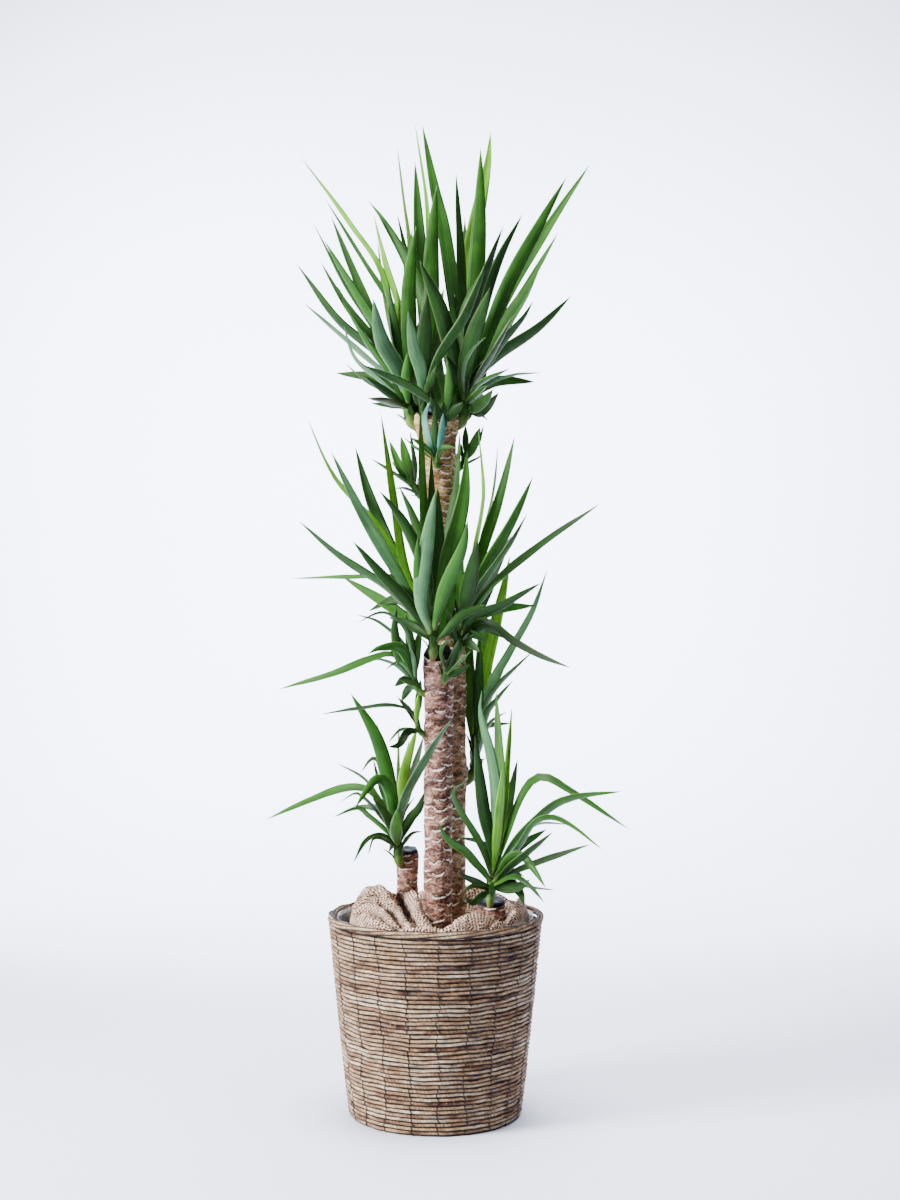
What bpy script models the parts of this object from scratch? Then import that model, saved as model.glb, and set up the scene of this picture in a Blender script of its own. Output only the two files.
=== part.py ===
# Potted yucca: four canes with leafy shoots in a coiled rope basket.
# Blender 4.5, metres, +Z up. The origin is the middle of the basket's underside, and the front faces -Y.

import math

import bmesh
import bpy
from mathutils import Vector
from mathutils.geometry import interpolate_bezier

CM = 0.01
GAP = 0.0003  # left between pieces that touch

# Where the plant is looked at from. Places given "as seen" lie in the upright plane through the
# origin, and move along the line of sight to their own depth.
EYE_X = 2.5 * CM
EYE_Z = 86.9 * CM
EYE_DISTANCE = 298.7 * CM

# Basket
BASKET_HEIGHT = 32.42 * CM
BASKET_FOOT_RADIUS = 14.5 * CM
BASKET_TOP_RADIUS = 18.0 * CM
BASKET_WALL = 0.85 * CM
BASKET_BOTTOM = 1.0 * CM
ROPE_ROWS = 18
ROPE_GROOVE = 0.28 * CM
BASKET_SIDES = 28
RIM_RADIUS = 17.75 * CM
RIM_ROPE_RADIUS = 0.7 * CM

# Film, nursery pot, soil and cloth inside the basket
LINER_THICKNESS = 0.06 * CM
LINER_TOP = 33.3 * CM
LINER_RUFFLE = 0.55 * CM
POT_HEIGHT = 26.4 * CM
POT_TOP_RADIUS = 15.5 * CM
POT_FOOT_RADIUS = 12.6 * CM
POT_WALL = 0.25 * CM
POT_LIP = 0.5 * CM
SOIL_TOP = 26.3 * CM
BURLAP_RADIUS = 16.6 * CM
BURLAP_TUCK = 1.6 * CM  # how far the cloth stands in from the film at the left
BURLAP_LEVEL = 32.9 * CM
BURLAP_CLEARANCE = 0.25 * CM

# Canes: seen x and height of the axis from foot to top, depth, radius, slope of the cut top
CANE_SIDES = 12
CANES = {
    "tall": dict(
        axis=[(1.9, 4.0), (1.95, 36.0), (2.05, 60.0), (1.95, 77.0), (1.3, 91.0), (0.6, 104.0), (0.15, 119.0)],
        depth=3.0, radius=3.15, slope=0.3, knots=[(58.0, 0.25), (109.0, 0.2), (117.5, 1.0)]),
    "medium": dict(
        axis=[(0.3, 8.0), (0.35, 33.0), (0.45, 52.0), (0.55, 70.0), (0.5, 77.8)],
        depth=-4.0, radius=2.35, slope=0.5, knots=[(64.5, 0.2), (75.5, 0.25)]),
    "short_left": dict(
        axis=[(-4.9, 9.0), (-4.8, 30.0), (-4.76, 44.2)],
        depth=6.0, radius=1.75, slope=0.2, knots=[(42.0, 0.15)]),
    "short_right": dict(
        axis=[(9.3, 12.0), (9.35, 25.0), (9.4, 35.5)],
        depth=-4.0, radius=2.35, slope=0.25, knots=[(33.0, 0.1)]),
}
CAP_HEIGHT = 0.5 * CM
CAP_SHARE = 0.94  # of the cane's radius
NOTCHED = {"medium": "middle_left", "short_right": "low_right"}  # caps with a stem in their edge

# Leaf blades
BLADE_THICKNESS = 0.16 * CM
BLADE_SPAN = 7 * CM  # length of blade to a segment
BLADE_SEGMENTS = (2, 6)  # fewest and most
FULL_WIDTH = 2.3 * CM  # of a long leaf, seen flat
BLADE_NECK = 0.42  # of the full width, at the root
STEM_SIDES = 8
ROOT_LOWEST = 0.5  # share of the stem's length where the lowest leaf starts
ROOT_HIGHEST = 0.94
ROOT_ASIDE = 0.3  # of the stem's radius

# Leafy shoots. The stem is (seen x, seen height, depth) from its foot inside the cane to its top.
# Each leaf is (seen width, depth of its tip from the stem, then seen places from the stem to the tip).
# All in centimetres. A stem that rises beside the sealed top of its cane stands in a notch of the seal.
SHOOTS = {
    "top_left": dict(cane="tall", radius=1.15,
        stem=[(-1.6, 115.4, 2.8), (-4.2, 117.4, 2.3), (-4.5, 124.0, 2.0)],
        leaves=[
            (1.0, -3, (-9.1, 142.3), (-14.5, 150.8), (-23.0, 162.4)),
            (1.0, 5, (-6.2, 134.3), (-11.8, 143.8), (-18.8, 155.2)),
            (0.8, 3, (-11.0, 133.6), (-15.0, 139.7), (-20.8, 151.1)),
            (1.7, -6, (-8.6, 131.0), (-14.2, 140.1), (-19.0, 148.2)),
            (1.7, 8, (-10.8, 135.2), (-14.9, 145.0), (-17.8, 152.3)),
            (1.2, -4, (-6.4, 137.0), (-8.6, 144.3), (-10.5, 152.5)),
            (0.7, 7, (-8.6, 139.2), (-9.9, 148.2)),
            (0.7, 4, (-4.5, 146.9), (-5.4, 154.7), (-6.5, 164.1)),
            (1.4, 1, (-4.9, 144.0), (-6.5, 152.7)),
            (2.7, -8, (-4.5, 132.8), (-4.5, 140.8), (-3.3, 150.6)),
            (1.5, -2, (-9.1, 128.0), (-16.4, 134.3), (-23.7, 144.2)),
            (1.4, 5, (-10.1, 130.7), (-15.2, 137.0), (-19.6, 144.5)),
            (1.0, 9, (-11.7, 131.0), (-16.7, 140.4)),
            (1.0, 1, (-7.2, 123.9), (-13.3, 129.4), (-22.5, 137.5)),
            (1.0, -8, (-11.2, 129.9), (-15.9, 137.9)),
            (2.8, -13, (-6.5, 126.3), (-9.1, 130.9), (-10.6, 138.2)),
            (1.4, -10, (-8.1, 122.1), (-12.2, 125.1)),
            (0.6, 10, (-11.8, 124.1), (-15.4, 127.2)),
            (0.8, -6, (-9.9, 124.6), (-13.7, 128.0), (-15.6, 133.6)),
            (1.2, -14, (-9.1, 120.9), (-11.6, 121.2)),
            (0.9, 9, (-8.2, 120.0), (-11.1, 120.4)),
            (1.7, -9, (-5.0, 123.8), (-4.8, 129.0)),
            (2.2, 16, (-6.5, 131.0), (-9.5, 143.0)),
            (2.0, 20, (-9.0, 128.0), (-14.0, 135.0)),
            (2.2, 14, (-4.8, 134.0), (-4.0, 150.0)),
            (2.0, 17, (-5.0, 128.0), (-3.5, 137.0)),
            (2.0, 19, (-10.0, 124.5), (-17.0, 125.5)),
            (2.0, 15, (-6.5, 122.8), (-8.5, 122.0)),
            (1.5, 5, (-3.6, 129.0), (-2.8, 134.5)),
            (1.6, -4, (-6.6, 131.5), (-8.0, 140.5)),
            (2.0, 6, (-2.8, 124.5), (-1.4, 130.5)),
            (1.8, -3, (-5.8, 121.5), (-7.4, 126.5)),
        ]),
    "top_middle": dict(cane="tall", radius=0.75,
        stem=[(-1.5, 116.2, 1.2), (-2.1, 118.6, -1.2), (-2.0, 124.0, -1.4)],
        leaves=[
            (2.4, 3, (-1.8, 132.8), (-2.8, 150.1), (-3.5, 161.7)),
            (0.9, 6, (-1.3, 138.0), (-1.3, 152.8), (-3.5, 168.0)),
            (2.9, -3, (-0.9, 136.2), (-0.6, 148.2), (0.2, 157.6)),
            (2.0, 0, (-1.8, 136.2), (-5.0, 144.7), (-9.1, 151.8), (-11.5, 154.9)),
            (2.2, -10, (-2.6, 126.3), (-3.5, 129.0), (-4.7, 136.0)),
            (1.7, -9, (0.6, 128.2), (4.7, 134.6), (8.2, 143.0), (8.4, 144.7)),
            (2.6, -7, (-2.0, 128.2), (-1.4, 139.2)),
            (2.2, 12, (-1.5, 135.0), (-0.5, 148.0)),
            (2.2, 15, (-1.0, 130.0), (1.5, 140.0)),
            (1.8, 3, (-0.4, 128.5), (1.6, 135.0)),
            (1.6, 6, (-0.2, 125.5), (1.4, 129.5)),
            (1.4, -5, (-0.9, 123.8), (0.3, 127.0)),
            (1.7, 5, (-2.7, 123.5), (-3.4, 127.5)),
        ]),
    "top_right": dict(cane="tall", radius=1.2,
        stem=[(1.8, 115.4, 2.8), (4.6, 117.6, 2.3), (4.8, 124.0, 2.0)],
        leaves=[
            (2.5, 7, (3.5, 135.3), (1.4, 150.1), (-0.1, 156.6), (-2.3, 168.0)),
            (2.9, -11, (2.5, 130.7), (0.4, 137.4), (-2.8, 144.7)),
            (1.7, 1, (4.5, 139.7), (3.5, 159.6)),
            (2.9, -3, (6.4, 134.5), (7.4, 150.1), (7.7, 163.9)),
            (3.0, 8, (5.9, 144.7), (8.9, 161.2), (9.4, 166.8)),
            (1.7, -9, (5.9, 134.5), (9.6, 145.5), (11.6, 150.6)),
            (1.9, -5, (7.2, 132.8), (10.5, 144.0), (14.9, 152.7)),
            (2.5, -3, (6.7, 126.0), (12.2, 140.3), (18.3, 151.8), (22.4, 159.0)),
            (2.0, 4, (11.3, 136.9), (18.4, 149.1), (26.4, 161.2)),
            (1.5, 9, (10.6, 132.6), (14.9, 139.2), (21.0, 149.6)),
            (0.8, 13, (15.2, 137.9), (18.6, 145.7)),
            (1.5, -8, (7.6, 125.1), (11.3, 130.7), (15.0, 135.0), (16.7, 137.9)),
            (1.0, -12, (10.1, 129.4), (13.0, 134.8)),
            (1.9, -2, (5.9, 123.4), (10.3, 128.2), (17.6, 133.3), (23.2, 138.7)),
            (0.9, -10, (7.7, 123.8), (12.7, 126.3)),
            (0.6, 6, (9.1, 123.6), (13.0, 125.1), (18.1, 125.6)),
            (1.2, -11, (7.2, 122.1), (8.8, 123.6)),
            (2.0, -14, (6.5, 119.5), (8.4, 120.9), (9.8, 122.7)),
            (1.7, 10, (7.7, 118.8), (10.8, 122.2)),
            (0.5, -5, (7.6, 118.4), (8.9, 117.5)),
            (3.0, -13, (4.8, 124.0), (6.0, 130.1), (8.4, 137.5), (9.3, 140.1)),
            (0.6, -15, (5.0, 126.5), (6.5, 129.7), (8.9, 131.9)),
            (1.5, -6, (4.6, 135.0), (7.9, 143.0)),
            (2.2, 16, (7.0, 132.0), (10.0, 146.0)),
            (2.0, 20, (9.5, 129.0), (15.0, 138.0)),
            (2.2, 15, (5.0, 134.0), (5.0, 152.0)),
            (2.0, 18, (6.0, 128.0), (6.5, 138.0)),
            (2.0, 19, (10.0, 124.0), (17.0, 124.0)),
            (2.0, 16, (7.0, 121.5), (9.0, 120.5)),
            (1.8, 1, (3.6, 127.5), (1.4, 134.5)),
            (1.7, -4, (3.6, 124.4), (1.8, 128.5)),
            (1.6, 8, (3.8, 123.8), (2.4, 126.5)),
            (1.8, 3, (5.0, 131.0), (3.2, 139.0)),
            (2.2, 10, (3.2, 125.0), (1.2, 132.0)),
            (1.6, 4, (6.4, 121.0), (8.8, 126.0)),
        ]),
    "top_front": dict(cane="tall", radius=0.7,
        stem=[(1.3, 115.8, 1.2), (1.4, 117.2, -1.1), (1.4, 119.6, -1.5)],
        leaves=[
            (1.5, -5, (2.1, 120.9), (2.3, 124.6), (2.0, 127.7)),
            (1.5, -9, (-1.8, 121.4), (-4.8, 123.4), (-12.7, 127.0)),
            (1.9, 4, (0.9, 123.0), (0.2, 128.5), (0.0, 134.0)),
            (1.6, 1, (0.2, 122.0), (-0.6, 127.0)),
            (1.8, 4, (1.8, 121.5), (2.8, 127.0)),
            (1.8, -3, (2.8, 118.6), (4.8, 120.6)),
            (1.6, -4, (0.4, 118.6), (-0.9, 121.6)),
        ]),
    "upper_front": dict(cane="tall", radius=0.6,
        stem=[(0.3, 108.8, 1.0), (0.2, 110.4, -1.0), (0.1, 112.2, -1.5)],
        leaves=[
            (1.2, -3, (-0.9, 113.2), (-1.8, 118.2), (-0.8, 120.9)),
            (1.2, -5, (0.9, 113.9), (1.3, 118.7)),
            (1.2, -4, (-0.1, 113.5), (-0.1, 120.0)),
            (1.0, -3, (-1.8, 112.9), (-4.3, 114.6)),
            (0.9, -7, (1.1, 112.6), (3.3, 113.0)),
            (0.5, -3, (-3.5, 112.9), (-5.4, 114.7)),
        ]),
    "upper_left": dict(cane="tall", radius=0.7,
        stem=[(-0.8, 103.4, 4.6), (-3.0, 105.0, 5.4), (-3.7, 107.0, 5.6)],
        leaves=[
            (1.4, 2, (-5.5, 108.3), (-7.9, 114.1)),
            (1.9, 5, (-4.3, 108.0), (-5.9, 114.8)),
            (0.9, 8, (-3.5, 109.5), (-4.3, 115.6)),
            (0.7, 0, (-5.2, 107.1), (-11.0, 111.0)),
            (0.5, -4, (-5.2, 105.9), (-6.9, 105.9)),
            (1.2, 9, (-5.2, 108.0), (-7.5, 110.5)),
        ]),
    "upper_right": dict(cane="tall", radius=0.7,
        stem=[(2.2, 108.4, 4.0), (4.5, 109.8, 4.4), (5.0, 111.8, 4.6)],
        leaves=[
            (1.7, -3, (6.2, 112.6), (7.6, 116.3)),
            (0.7, 3, (7.2, 113.5), (8.2, 116.6)),
            (0.5, -4, (6.9, 110.9), (8.2, 111.7)),
            (1.2, 0, (5.1, 114.1), (5.1, 116.6)),
            (1.2, 7, (6.0, 112.5), (7.0, 115.0)),
        ]),
    "middle_left": dict(cane="medium", radius=0.85,
        stem=[(-0.3, 75.4, -5.0), (-0.4, 77.4, -6.2), (-0.6, 84.5, -6.9)],
        leaves=[
            (0.9, 8, (-9.0, 98.5), (-17.1, 107.6), (-21.8, 117.8)),
            (2.0, 2, (-6.0, 90.6), (-12.2, 101.0), (-17.9, 112.4)),
            (2.4, 9, (-6.4, 92.8), (-11.1, 104.2), (-13.7, 113.1)),
            (1.5, 4, (-5.4, 93.2), (-7.1, 103.7), (-9.3, 118.8)),
            (2.2, -5, (-1.8, 92.0), (-5.4, 100.1), (-9.6, 105.6)),
            (1.9, -4, (-5.0, 86.9), (-9.4, 91.5), (-14.2, 97.1)),
            (1.4, -1, (-7.9, 88.7), (-16.4, 94.4), (-23.4, 100.5)),
            (0.9, 3, (-3.5, 87.7), (-5.7, 89.9), (-7.7, 90.8), (-14.7, 90.8), (-24.6, 90.6)),
            (2.7, -8, (-2.5, 86.9), (-1.1, 98.8), (0.1, 105.7)),
            (1.9, -6, (-2.8, 90.3), (-3.0, 97.9)),
            (1.5, 1, (-1.8, 97.1), (-2.5, 114.4), (-2.6, 119.9)),
            (2.0, 2, (0.6, 93.7), (0.4, 106.3)),
            (1.0, 1, (-0.8, 98.0), (-0.8, 110.5)),
            (2.9, 2, (2.0, 93.2), (4.7, 103.9), (5.4, 112.4)),
            (1.5, 4, (2.2, 98.0), (3.5, 105.6), (4.2, 115.9)),
            (2.4, -9, (1.6, 88.6), (4.7, 96.1), (5.5, 100.5)),
            (1.9, -2, (-2.3, 96.2), (-4.0, 101.5), (-6.2, 106.3)),
            (2.0, 14, (-6.0, 90.0), (-10.5, 100.0)),
            (2.0, 17, (-8.0, 86.0), (-16.0, 91.0)),
            (2.0, 12, (-6.0, 87.0), (-11.5, 85.0)),
            (1.7, 2, (0.9, 89.5), (2.4, 97.0)),
            (1.8, 1, (1.3, 82.5), (2.5, 87.0), (3.2, 93.0)),
            (1.6, -2, (1.6, 81.2), (4.6, 84.4), (9.0, 86.2)),
            (2.0, 10, (-3.8, 88.0), (-6.4, 94.0)),
            (1.8, 6, (-3.6, 84.6), (-6.9, 88.6)),
            (1.6, 3, (-4.2, 82.6), (-8.0, 84.0)),
        ]),
    "middle_right": dict(cane="medium", radius=0.85,
        stem=[(1.6, 75.0, -3.7), (3.7, 77.4, -3.3), (4.3, 84.5, -3.2)],
        leaves=[
            (2.7, -9, (5.7, 89.3), (7.2, 97.2)),
            (0.7, 3, (6.9, 96.4), (8.2, 103.9), (8.2, 106.8), (7.2, 116.3)),
            (0.7, 10, (7.9, 97.1), (9.9, 105.4), (10.6, 113.4)),
            (1.9, 3, (7.9, 95.0), (11.3, 105.7), (13.5, 114.9)),
            (1.9, -2, (7.6, 90.6), (13.2, 100.5), (16.7, 108.1)),
            (1.2, -7, (6.9, 87.9), (12.5, 96.1), (15.7, 101.8)),
            (1.4, 2, (8.4, 88.1), (16.4, 95.2), (28.3, 103.5)),
            (0.6, 13, (7.0, 92.0), (9.1, 98.6)),
            (0.6, -4, (9.5, 88.8), (13.0, 91.8)),
            (1.5, -5, (5.7, 83.6), (10.5, 85.6), (18.1, 89.9)),
            (1.4, -3, (8.2, 83.4), (12.8, 80.2), (17.8, 77.4), (23.2, 75.3)),
            (2.0, 14, (8.5, 89.0), (13.0, 98.0)),
            (2.0, 8, (9.0, 85.0), (17.0, 86.0)),
            (2.0, 10, (8.0, 82.5), (13.0, 80.0)),
            (1.8, 2, (3.4, 90.0), (1.8, 98.5)),
            (1.7, 0, (2.8, 84.0), (1.2, 89.0)),
            (1.8, 1, (4.0, 90.5), (4.0, 100.0)),
            (1.8, 6, (6.9, 84.8), (10.5, 90.5)),
            (1.6, 4, (5.8, 81.2), (8.8, 79.8)),
            (1.5, -4, (5.6, 79.6), (7.6, 78.0)),
            (1.4, -4, (3.0, 81.4), (1.9, 85.4)),
        ]),
    "middle_front": dict(cane="medium", radius=0.65,
        stem=[(1.3, 72.4, -5.4), (1.7, 74.0, -7.2), (1.8, 75.8, -7.6)],
        leaves=[
            (1.4, -3, (3.0, 76.9), (4.0, 80.1)),
            (0.5, -2, (1.0, 77.2), (0.9, 79.9)),
            (0.5, -5, (4.2, 76.4), (6.2, 78.4)),
            (1.2, -1, (4.0, 74.8), (5.9, 76.0)),
            (0.7, -6, (0.9, 78.0), (2.0, 79.9), (3.5, 80.2)),
        ]),
    "side_upper": dict(cane="medium", radius=0.65,
        stem=[(-0.8, 70.2, -4.5), (-3.0, 71.8, -5.1), (-3.8, 74.8, -5.2)],
        leaves=[
            (1.7, -3, (-5.7, 75.9), (-6.9, 81.4), (-6.7, 85.9)),
            (0.7, -1, (-4.8, 78.4), (-9.4, 83.0), (-13.5, 84.5)),
            (0.7, -6, (-5.0, 81.6), (-7.9, 84.5), (-9.8, 84.7), (-13.3, 83.0)),
            (1.7, -8, (-6.0, 78.7), (-9.6, 78.7), (-11.5, 77.7)),
            (1.2, -2, (-6.9, 77.5), (-11.3, 76.8), (-16.7, 74.6), (-26.8, 71.7)),
            (0.7, -9, (-6.5, 75.6), (-9.4, 76.8), (-11.0, 76.5)),
            (0.6, -11, (-6.0, 76.4), (-8.6, 75.1)),
            (1.2, -6, (-5.0, 73.3), (-6.4, 73.6)),
            (0.9, -5, (-3.8, 76.9), (-4.5, 79.6)),
            (1.2, -1, (-3.7, 76.6), (-4.3, 79.6)),
            (1.0, 6, (-4.8, 77.0), (-7.5, 80.0)),
            (1.7, 2, (-4.2, 79.0), (-5.0, 84.5)),
            (1.6, 3, (-5.4, 75.8), (-7.8, 79.0)),
            (1.5, 2, (-5.0, 73.4), (-7.0, 72.2)),
            (1.4, 4, (-4.4, 72.0), (-5.8, 69.6)),
            (1.6, 5, (-3.2, 78.5), (-2.4, 82.5)),
        ]),
    "side_lower": dict(cane="medium", radius=0.6,
        stem=[(-0.8, 63.2, -4.4), (-2.8, 64.8, -4.9), (-3.2, 67.0, -5.0)],
        leaves=[
            (0.7, 0, (-4.2, 68.0), (-7.4, 69.0), (-12.8, 68.5), (-19.5, 67.5)),
            (0.5, -4, (-5.9, 64.8), (-8.1, 62.6)),
            (1.4, -6, (-4.8, 64.4), (-6.2, 62.3), (-8.1, 61.9)),
            (1.0, -3, (-3.1, 68.4), (-2.9, 71.0)),
            (1.0, 5, (-4.4, 68.0), (-6.5, 70.5)),
            (1.3, 3, (-2.9, 69.5), (-2.5, 73.5)),
        ]),
    "behind": dict(cane="tall", radius=0.85,
        stem=[(3.6, 54.6, 4.4), (6.3, 57.2, 5.2), (6.8, 63.0, 5.5)],
        leaves=[
            (2.4, 3, (6.9, 68.7), (8.8, 77.0), (11.6, 88.9), (12.7, 94.7)),
            (1.5, 6, (9.1, 71.6), (12.3, 77.5), (16.4, 84.8), (19.1, 92.3)),
            (2.2, 2, (5.9, 67.5), (5.6, 77.0), (5.5, 86.0)),
            (1.9, -3, (7.2, 68.5), (7.6, 80.5)),
            (0.9, -5, (8.6, 69.0), (11.1, 72.9), (14.0, 75.8), (16.9, 78.5)),
            (1.2, -9, (8.8, 67.7), (10.3, 69.9), (13.3, 73.4)),
            (0.9, -11, (9.1, 65.8), (12.2, 68.0)),
            (1.6, 10, (8.5, 69.0), (12.0, 76.0)),
            (1.4, 12, (8.0, 65.0), (13.0, 66.0)),
            (2.4, 7, (7.6, 70.0), (8.0, 80.0), (8.4, 88.0)),
            (2.2, 10, (7.8, 70.5), (9.6, 80.0), (10.8, 87.0)),
            (1.5, 2, (7.4, 60.0), (6.6, 56.0)),
        ]),
    "low_left": dict(cane="short_left", radius=0.95,
        stem=[(-5.1, 41.2, 5.3), (-6.25, 42.7, 3.55), (-6.35, 48.8, 3.4)],
        leaves=[
            (2.5, -3, (-7.1, 52.5), (-9.9, 63.2), (-14.5, 71.2)),
            (2.0, -10, (-7.3, 52.0), (-7.9, 54.7), (-9.4, 56.6), (-10.8, 55.8), (-13.7, 51.5)),
            (1.4, 1, (-10.3, 53.7), (-14.2, 55.1), (-21.0, 53.0), (-29.0, 49.5)),
            (0.7, 6, (-13.0, 53.9), (-16.1, 52.7)),
            (0.6, 3, (-11.5, 55.9), (-16.9, 59.3)),
            (1.0, 5, (-9.6, 56.0), (-10.6, 60.0)),
            (1.2, 9, (-9.0, 57.0), (-10.3, 60.0), (-12.8, 57.5)),
            (1.0, -6, (-8.2, 47.4), (-11.5, 50.3), (-13.2, 51.5), (-17.4, 50.0)),
            (1.7, -12, (-8.2, 50.0), (-10.8, 53.4)),
            (0.8, 8, (-9.0, 51.0), (-11.5, 52.7)),
            (0.9, -5, (-8.8, 46.8), (-11.6, 46.2), (-14.0, 42.2)),
            (0.5, -9, (-10.3, 46.4), (-11.5, 43.5)),
            (0.6, 2, (-6.4, 57.0), (-6.2, 65.8)),
            (1.4, 3, (-5.4, 57.0), (-3.0, 65.6)),
            (1.4, -3, (-4.4, 56.4), (-2.3, 64.1)),
            (1.7, -18, (-5.4, 52.6), (-2.8, 57.8), (-0.6, 61.7), (3.0, 67.0)),
            (0.5, -4, (-5.2, 50.8), (-3.5, 53.6)),
            (1.7, -4.7, (-4.2, 49.9), (-2.8, 51.5), (-1.6, 54.7)),
            (0.7, -3, (-4.0, 47.2), (-2.2, 47.6)),
            (2.2, -15, (-6.7, 47.8), (-6.5, 51.5)),
            (1.8, 10, (-8.0, 57.0), (-10.0, 66.0)),
            (1.6, 12, (-9.0, 51.0), (-14.0, 52.0)),
            (1.6, 10, (-5.5, 56.0), (-4.5, 63.0)),
            (1.5, 9, (-6.4, 46.9), (-8.0, 43.9)),
        ]),
    "low_right": dict(cane="short_right", radius=0.8,
        stem=[(9.2, 33.6, -5.4), (9.3, 35.4, -6.2), (9.9, 41.5, -6.8)],
        leaves=[
            (2.2, -4, (9.3, 45.9), (8.2, 51.2), (6.7, 63.9)),
            (2.0, -6, (10.3, 53.2), (9.4, 60.4), (7.6, 68.0), (7.9, 71.6)),
            (1.5, -9, (10.5, 47.3), (11.3, 58.0)),
            (1.2, 3, (11.3, 47.3), (12.2, 57.6), (13.0, 68.9)),
            (1.9, 2, (11.0, 54.6), (10.3, 71.6)),
            (1.4, 1, (11.8, 45.7), (14.7, 53.6), (17.8, 56.8), (22.5, 54.7), (33.1, 47.8)),
            (1.5, -3, (12.7, 44.7), (16.7, 49.1), (22.0, 52.9), (31.9, 54.4)),
            (1.0, -9, (14.2, 45.0), (17.3, 49.3), (21.2, 49.6), (28.5, 44.4)),
            (0.5, 6, (16.4, 48.3), (23.5, 48.8)),
            (1.2, -12, (13.2, 41.9), (17.8, 45.7), (20.1, 47.6)),
            (1.2, 3, (13.7, 40.8), (18.8, 42.8), (26.4, 45.4)),
            (1.5, -8, (12.8, 43.2), (14.7, 43.4), (16.2, 41.8), (18.8, 37.9)),
            (0.9, -12, (13.0, 39.8), (15.4, 38.8), (18.6, 35.4)),
            (0.5, -4, (13.7, 38.4), (17.3, 37.9), (20.3, 37.6)),
            (2.0, -7, (14.2, 38.2), (16.1, 39.4)),
            (1.2, -6, (6.9, 39.0), (3.8, 40.5)),
            (1.5, -9, (6.9, 42.0), (4.8, 44.4), (2.1, 46.2), (0.4, 49.1)),
            (0.5, -3, (6.9, 41.5), (4.8, 43.4)),
            (1.2, -10, (7.4, 45.7), (6.0, 48.1), (3.5, 52.5), (3.1, 54.6), (6.0, 56.3)),
            (1.0, -5, (8.2, 45.3), (6.0, 46.2), (3.7, 46.4)),
            (1.0, -3, (6.9, 38.4), (4.8, 37.5)),
            (1.8, 12, (12.0, 50.0), (14.0, 60.0)),
            (1.8, 14, (13.0, 44.0), (19.0, 48.0)),
            (1.5, 12, (12.0, 41.0), (15.0, 40.0)),
        ]),
}


def clear_scene():
    for old in list(bpy.data.objects):
        bpy.data.objects.remove(old, do_unlink=True)


def material(name, color, roughness, metallic=0.0):
    made = bpy.data.materials.new(name)
    made.use_nodes = True
    shader = made.node_tree.nodes["Principled BSDF"]
    shader.inputs["Base Color"].default_value = (*color, 1.0)
    shader.inputs["Roughness"].default_value = roughness
    shader.inputs["Metallic"].default_value = metallic
    made.diffuse_color = (*color, 1.0)
    return made


def new_object(name, mesh, surface=None):
    """The mesh as an object in the scene, shaded smooth between its sharp edges."""
    mesh.shade_smooth()
    mesh.set_sharp_from_angle(angle=math.radians(40))
    if surface:
        mesh.materials.append(surface)
    made = bpy.data.objects.new(name, mesh)
    bpy.context.scene.collection.objects.link(made)
    return made


def loft_mesh(name, rings):
    """A closed mesh through rings of points; a ring of one point ends it in a tip."""
    work = bmesh.new()
    loops = [[work.verts.new(point) for point in ring] for ring in rings]
    for lower, upper in zip(loops, loops[1:]):
        count = max(len(lower), len(upper))
        for i in range(count):
            j = (i + 1) % count
            corners = [lower[i % len(lower)], lower[j % len(lower)], upper[j % len(upper)], upper[i % len(upper)]]
            work.faces.new(list(dict.fromkeys(corners)))
    for end in (loops[0], loops[-1]):
        if len(end) > 2:
            work.faces.new(end)
    bmesh.ops.recalc_face_normals(work, faces=work.faces)
    bmesh.ops.triangulate(work, faces=work.faces)
    mesh = bpy.data.meshes.new(name)
    work.to_mesh(mesh)
    work.free()
    return mesh


def circle(centre, radius, sides, slope=0.0):
    """A level ring of points round centre, tilted about X by the slope."""
    points = []
    for i in range(sides):
        turn = 2 * math.pi * i / sides
        x, y = radius * math.cos(turn), radius * math.sin(turn)
        points.append(Vector((centre[0] + x, centre[1] + y, centre[2] + slope * y)))
    return points


def turned(name, profile, sides, surface):
    """A closed profile of (radius, height) turned about Z; radius 0 lies on the axis."""
    rings = [[Vector((0, 0, z))] if r == 0 else circle((0, 0, z), r, sides) for r, z in profile]
    return new_object(name, loft_mesh(name, rings), surface)


def carve(target, cutter, solver="EXACT"):
    """Cuts the cutter's shape from the target and removes the cutter."""
    cutter.hide_render = True
    cutter.display_type = "WIRE"
    cut = target.modifiers.new("Cut", "BOOLEAN")
    cut.operation = "DIFFERENCE"
    cut.solver = solver
    cut.object = cutter
    apply_modifiers(target)
    bpy.data.objects.remove(cutter, do_unlink=True)


def apply_modifiers(target):
    graph = bpy.context.evaluated_depsgraph_get()
    done = bpy.data.meshes.new_from_object(target.evaluated_get(graph))
    target.modifiers.clear()
    target.data = done


def keep_largest(mesh):
    """Drops loose scraps and the skins of sealed hollows, so that one solid body is left."""
    work = bmesh.new()
    work.from_mesh(mesh)
    waiting = set(work.verts)
    bodies = []
    while waiting:
        body, edge = set(), [waiting.pop()]
        while edge:
            vert = edge.pop()
            body.add(vert)
            for link in vert.link_edges:
                other = link.other_vert(vert)
                if other in waiting:
                    waiting.remove(other)
                    edge.append(other)
        bodies.append(body)
    largest = max(bodies, key=len)
    bmesh.ops.delete(work, geom=[v for v in work.verts if v not in largest], context="VERTS")
    work.to_mesh(mesh)
    work.free()


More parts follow.
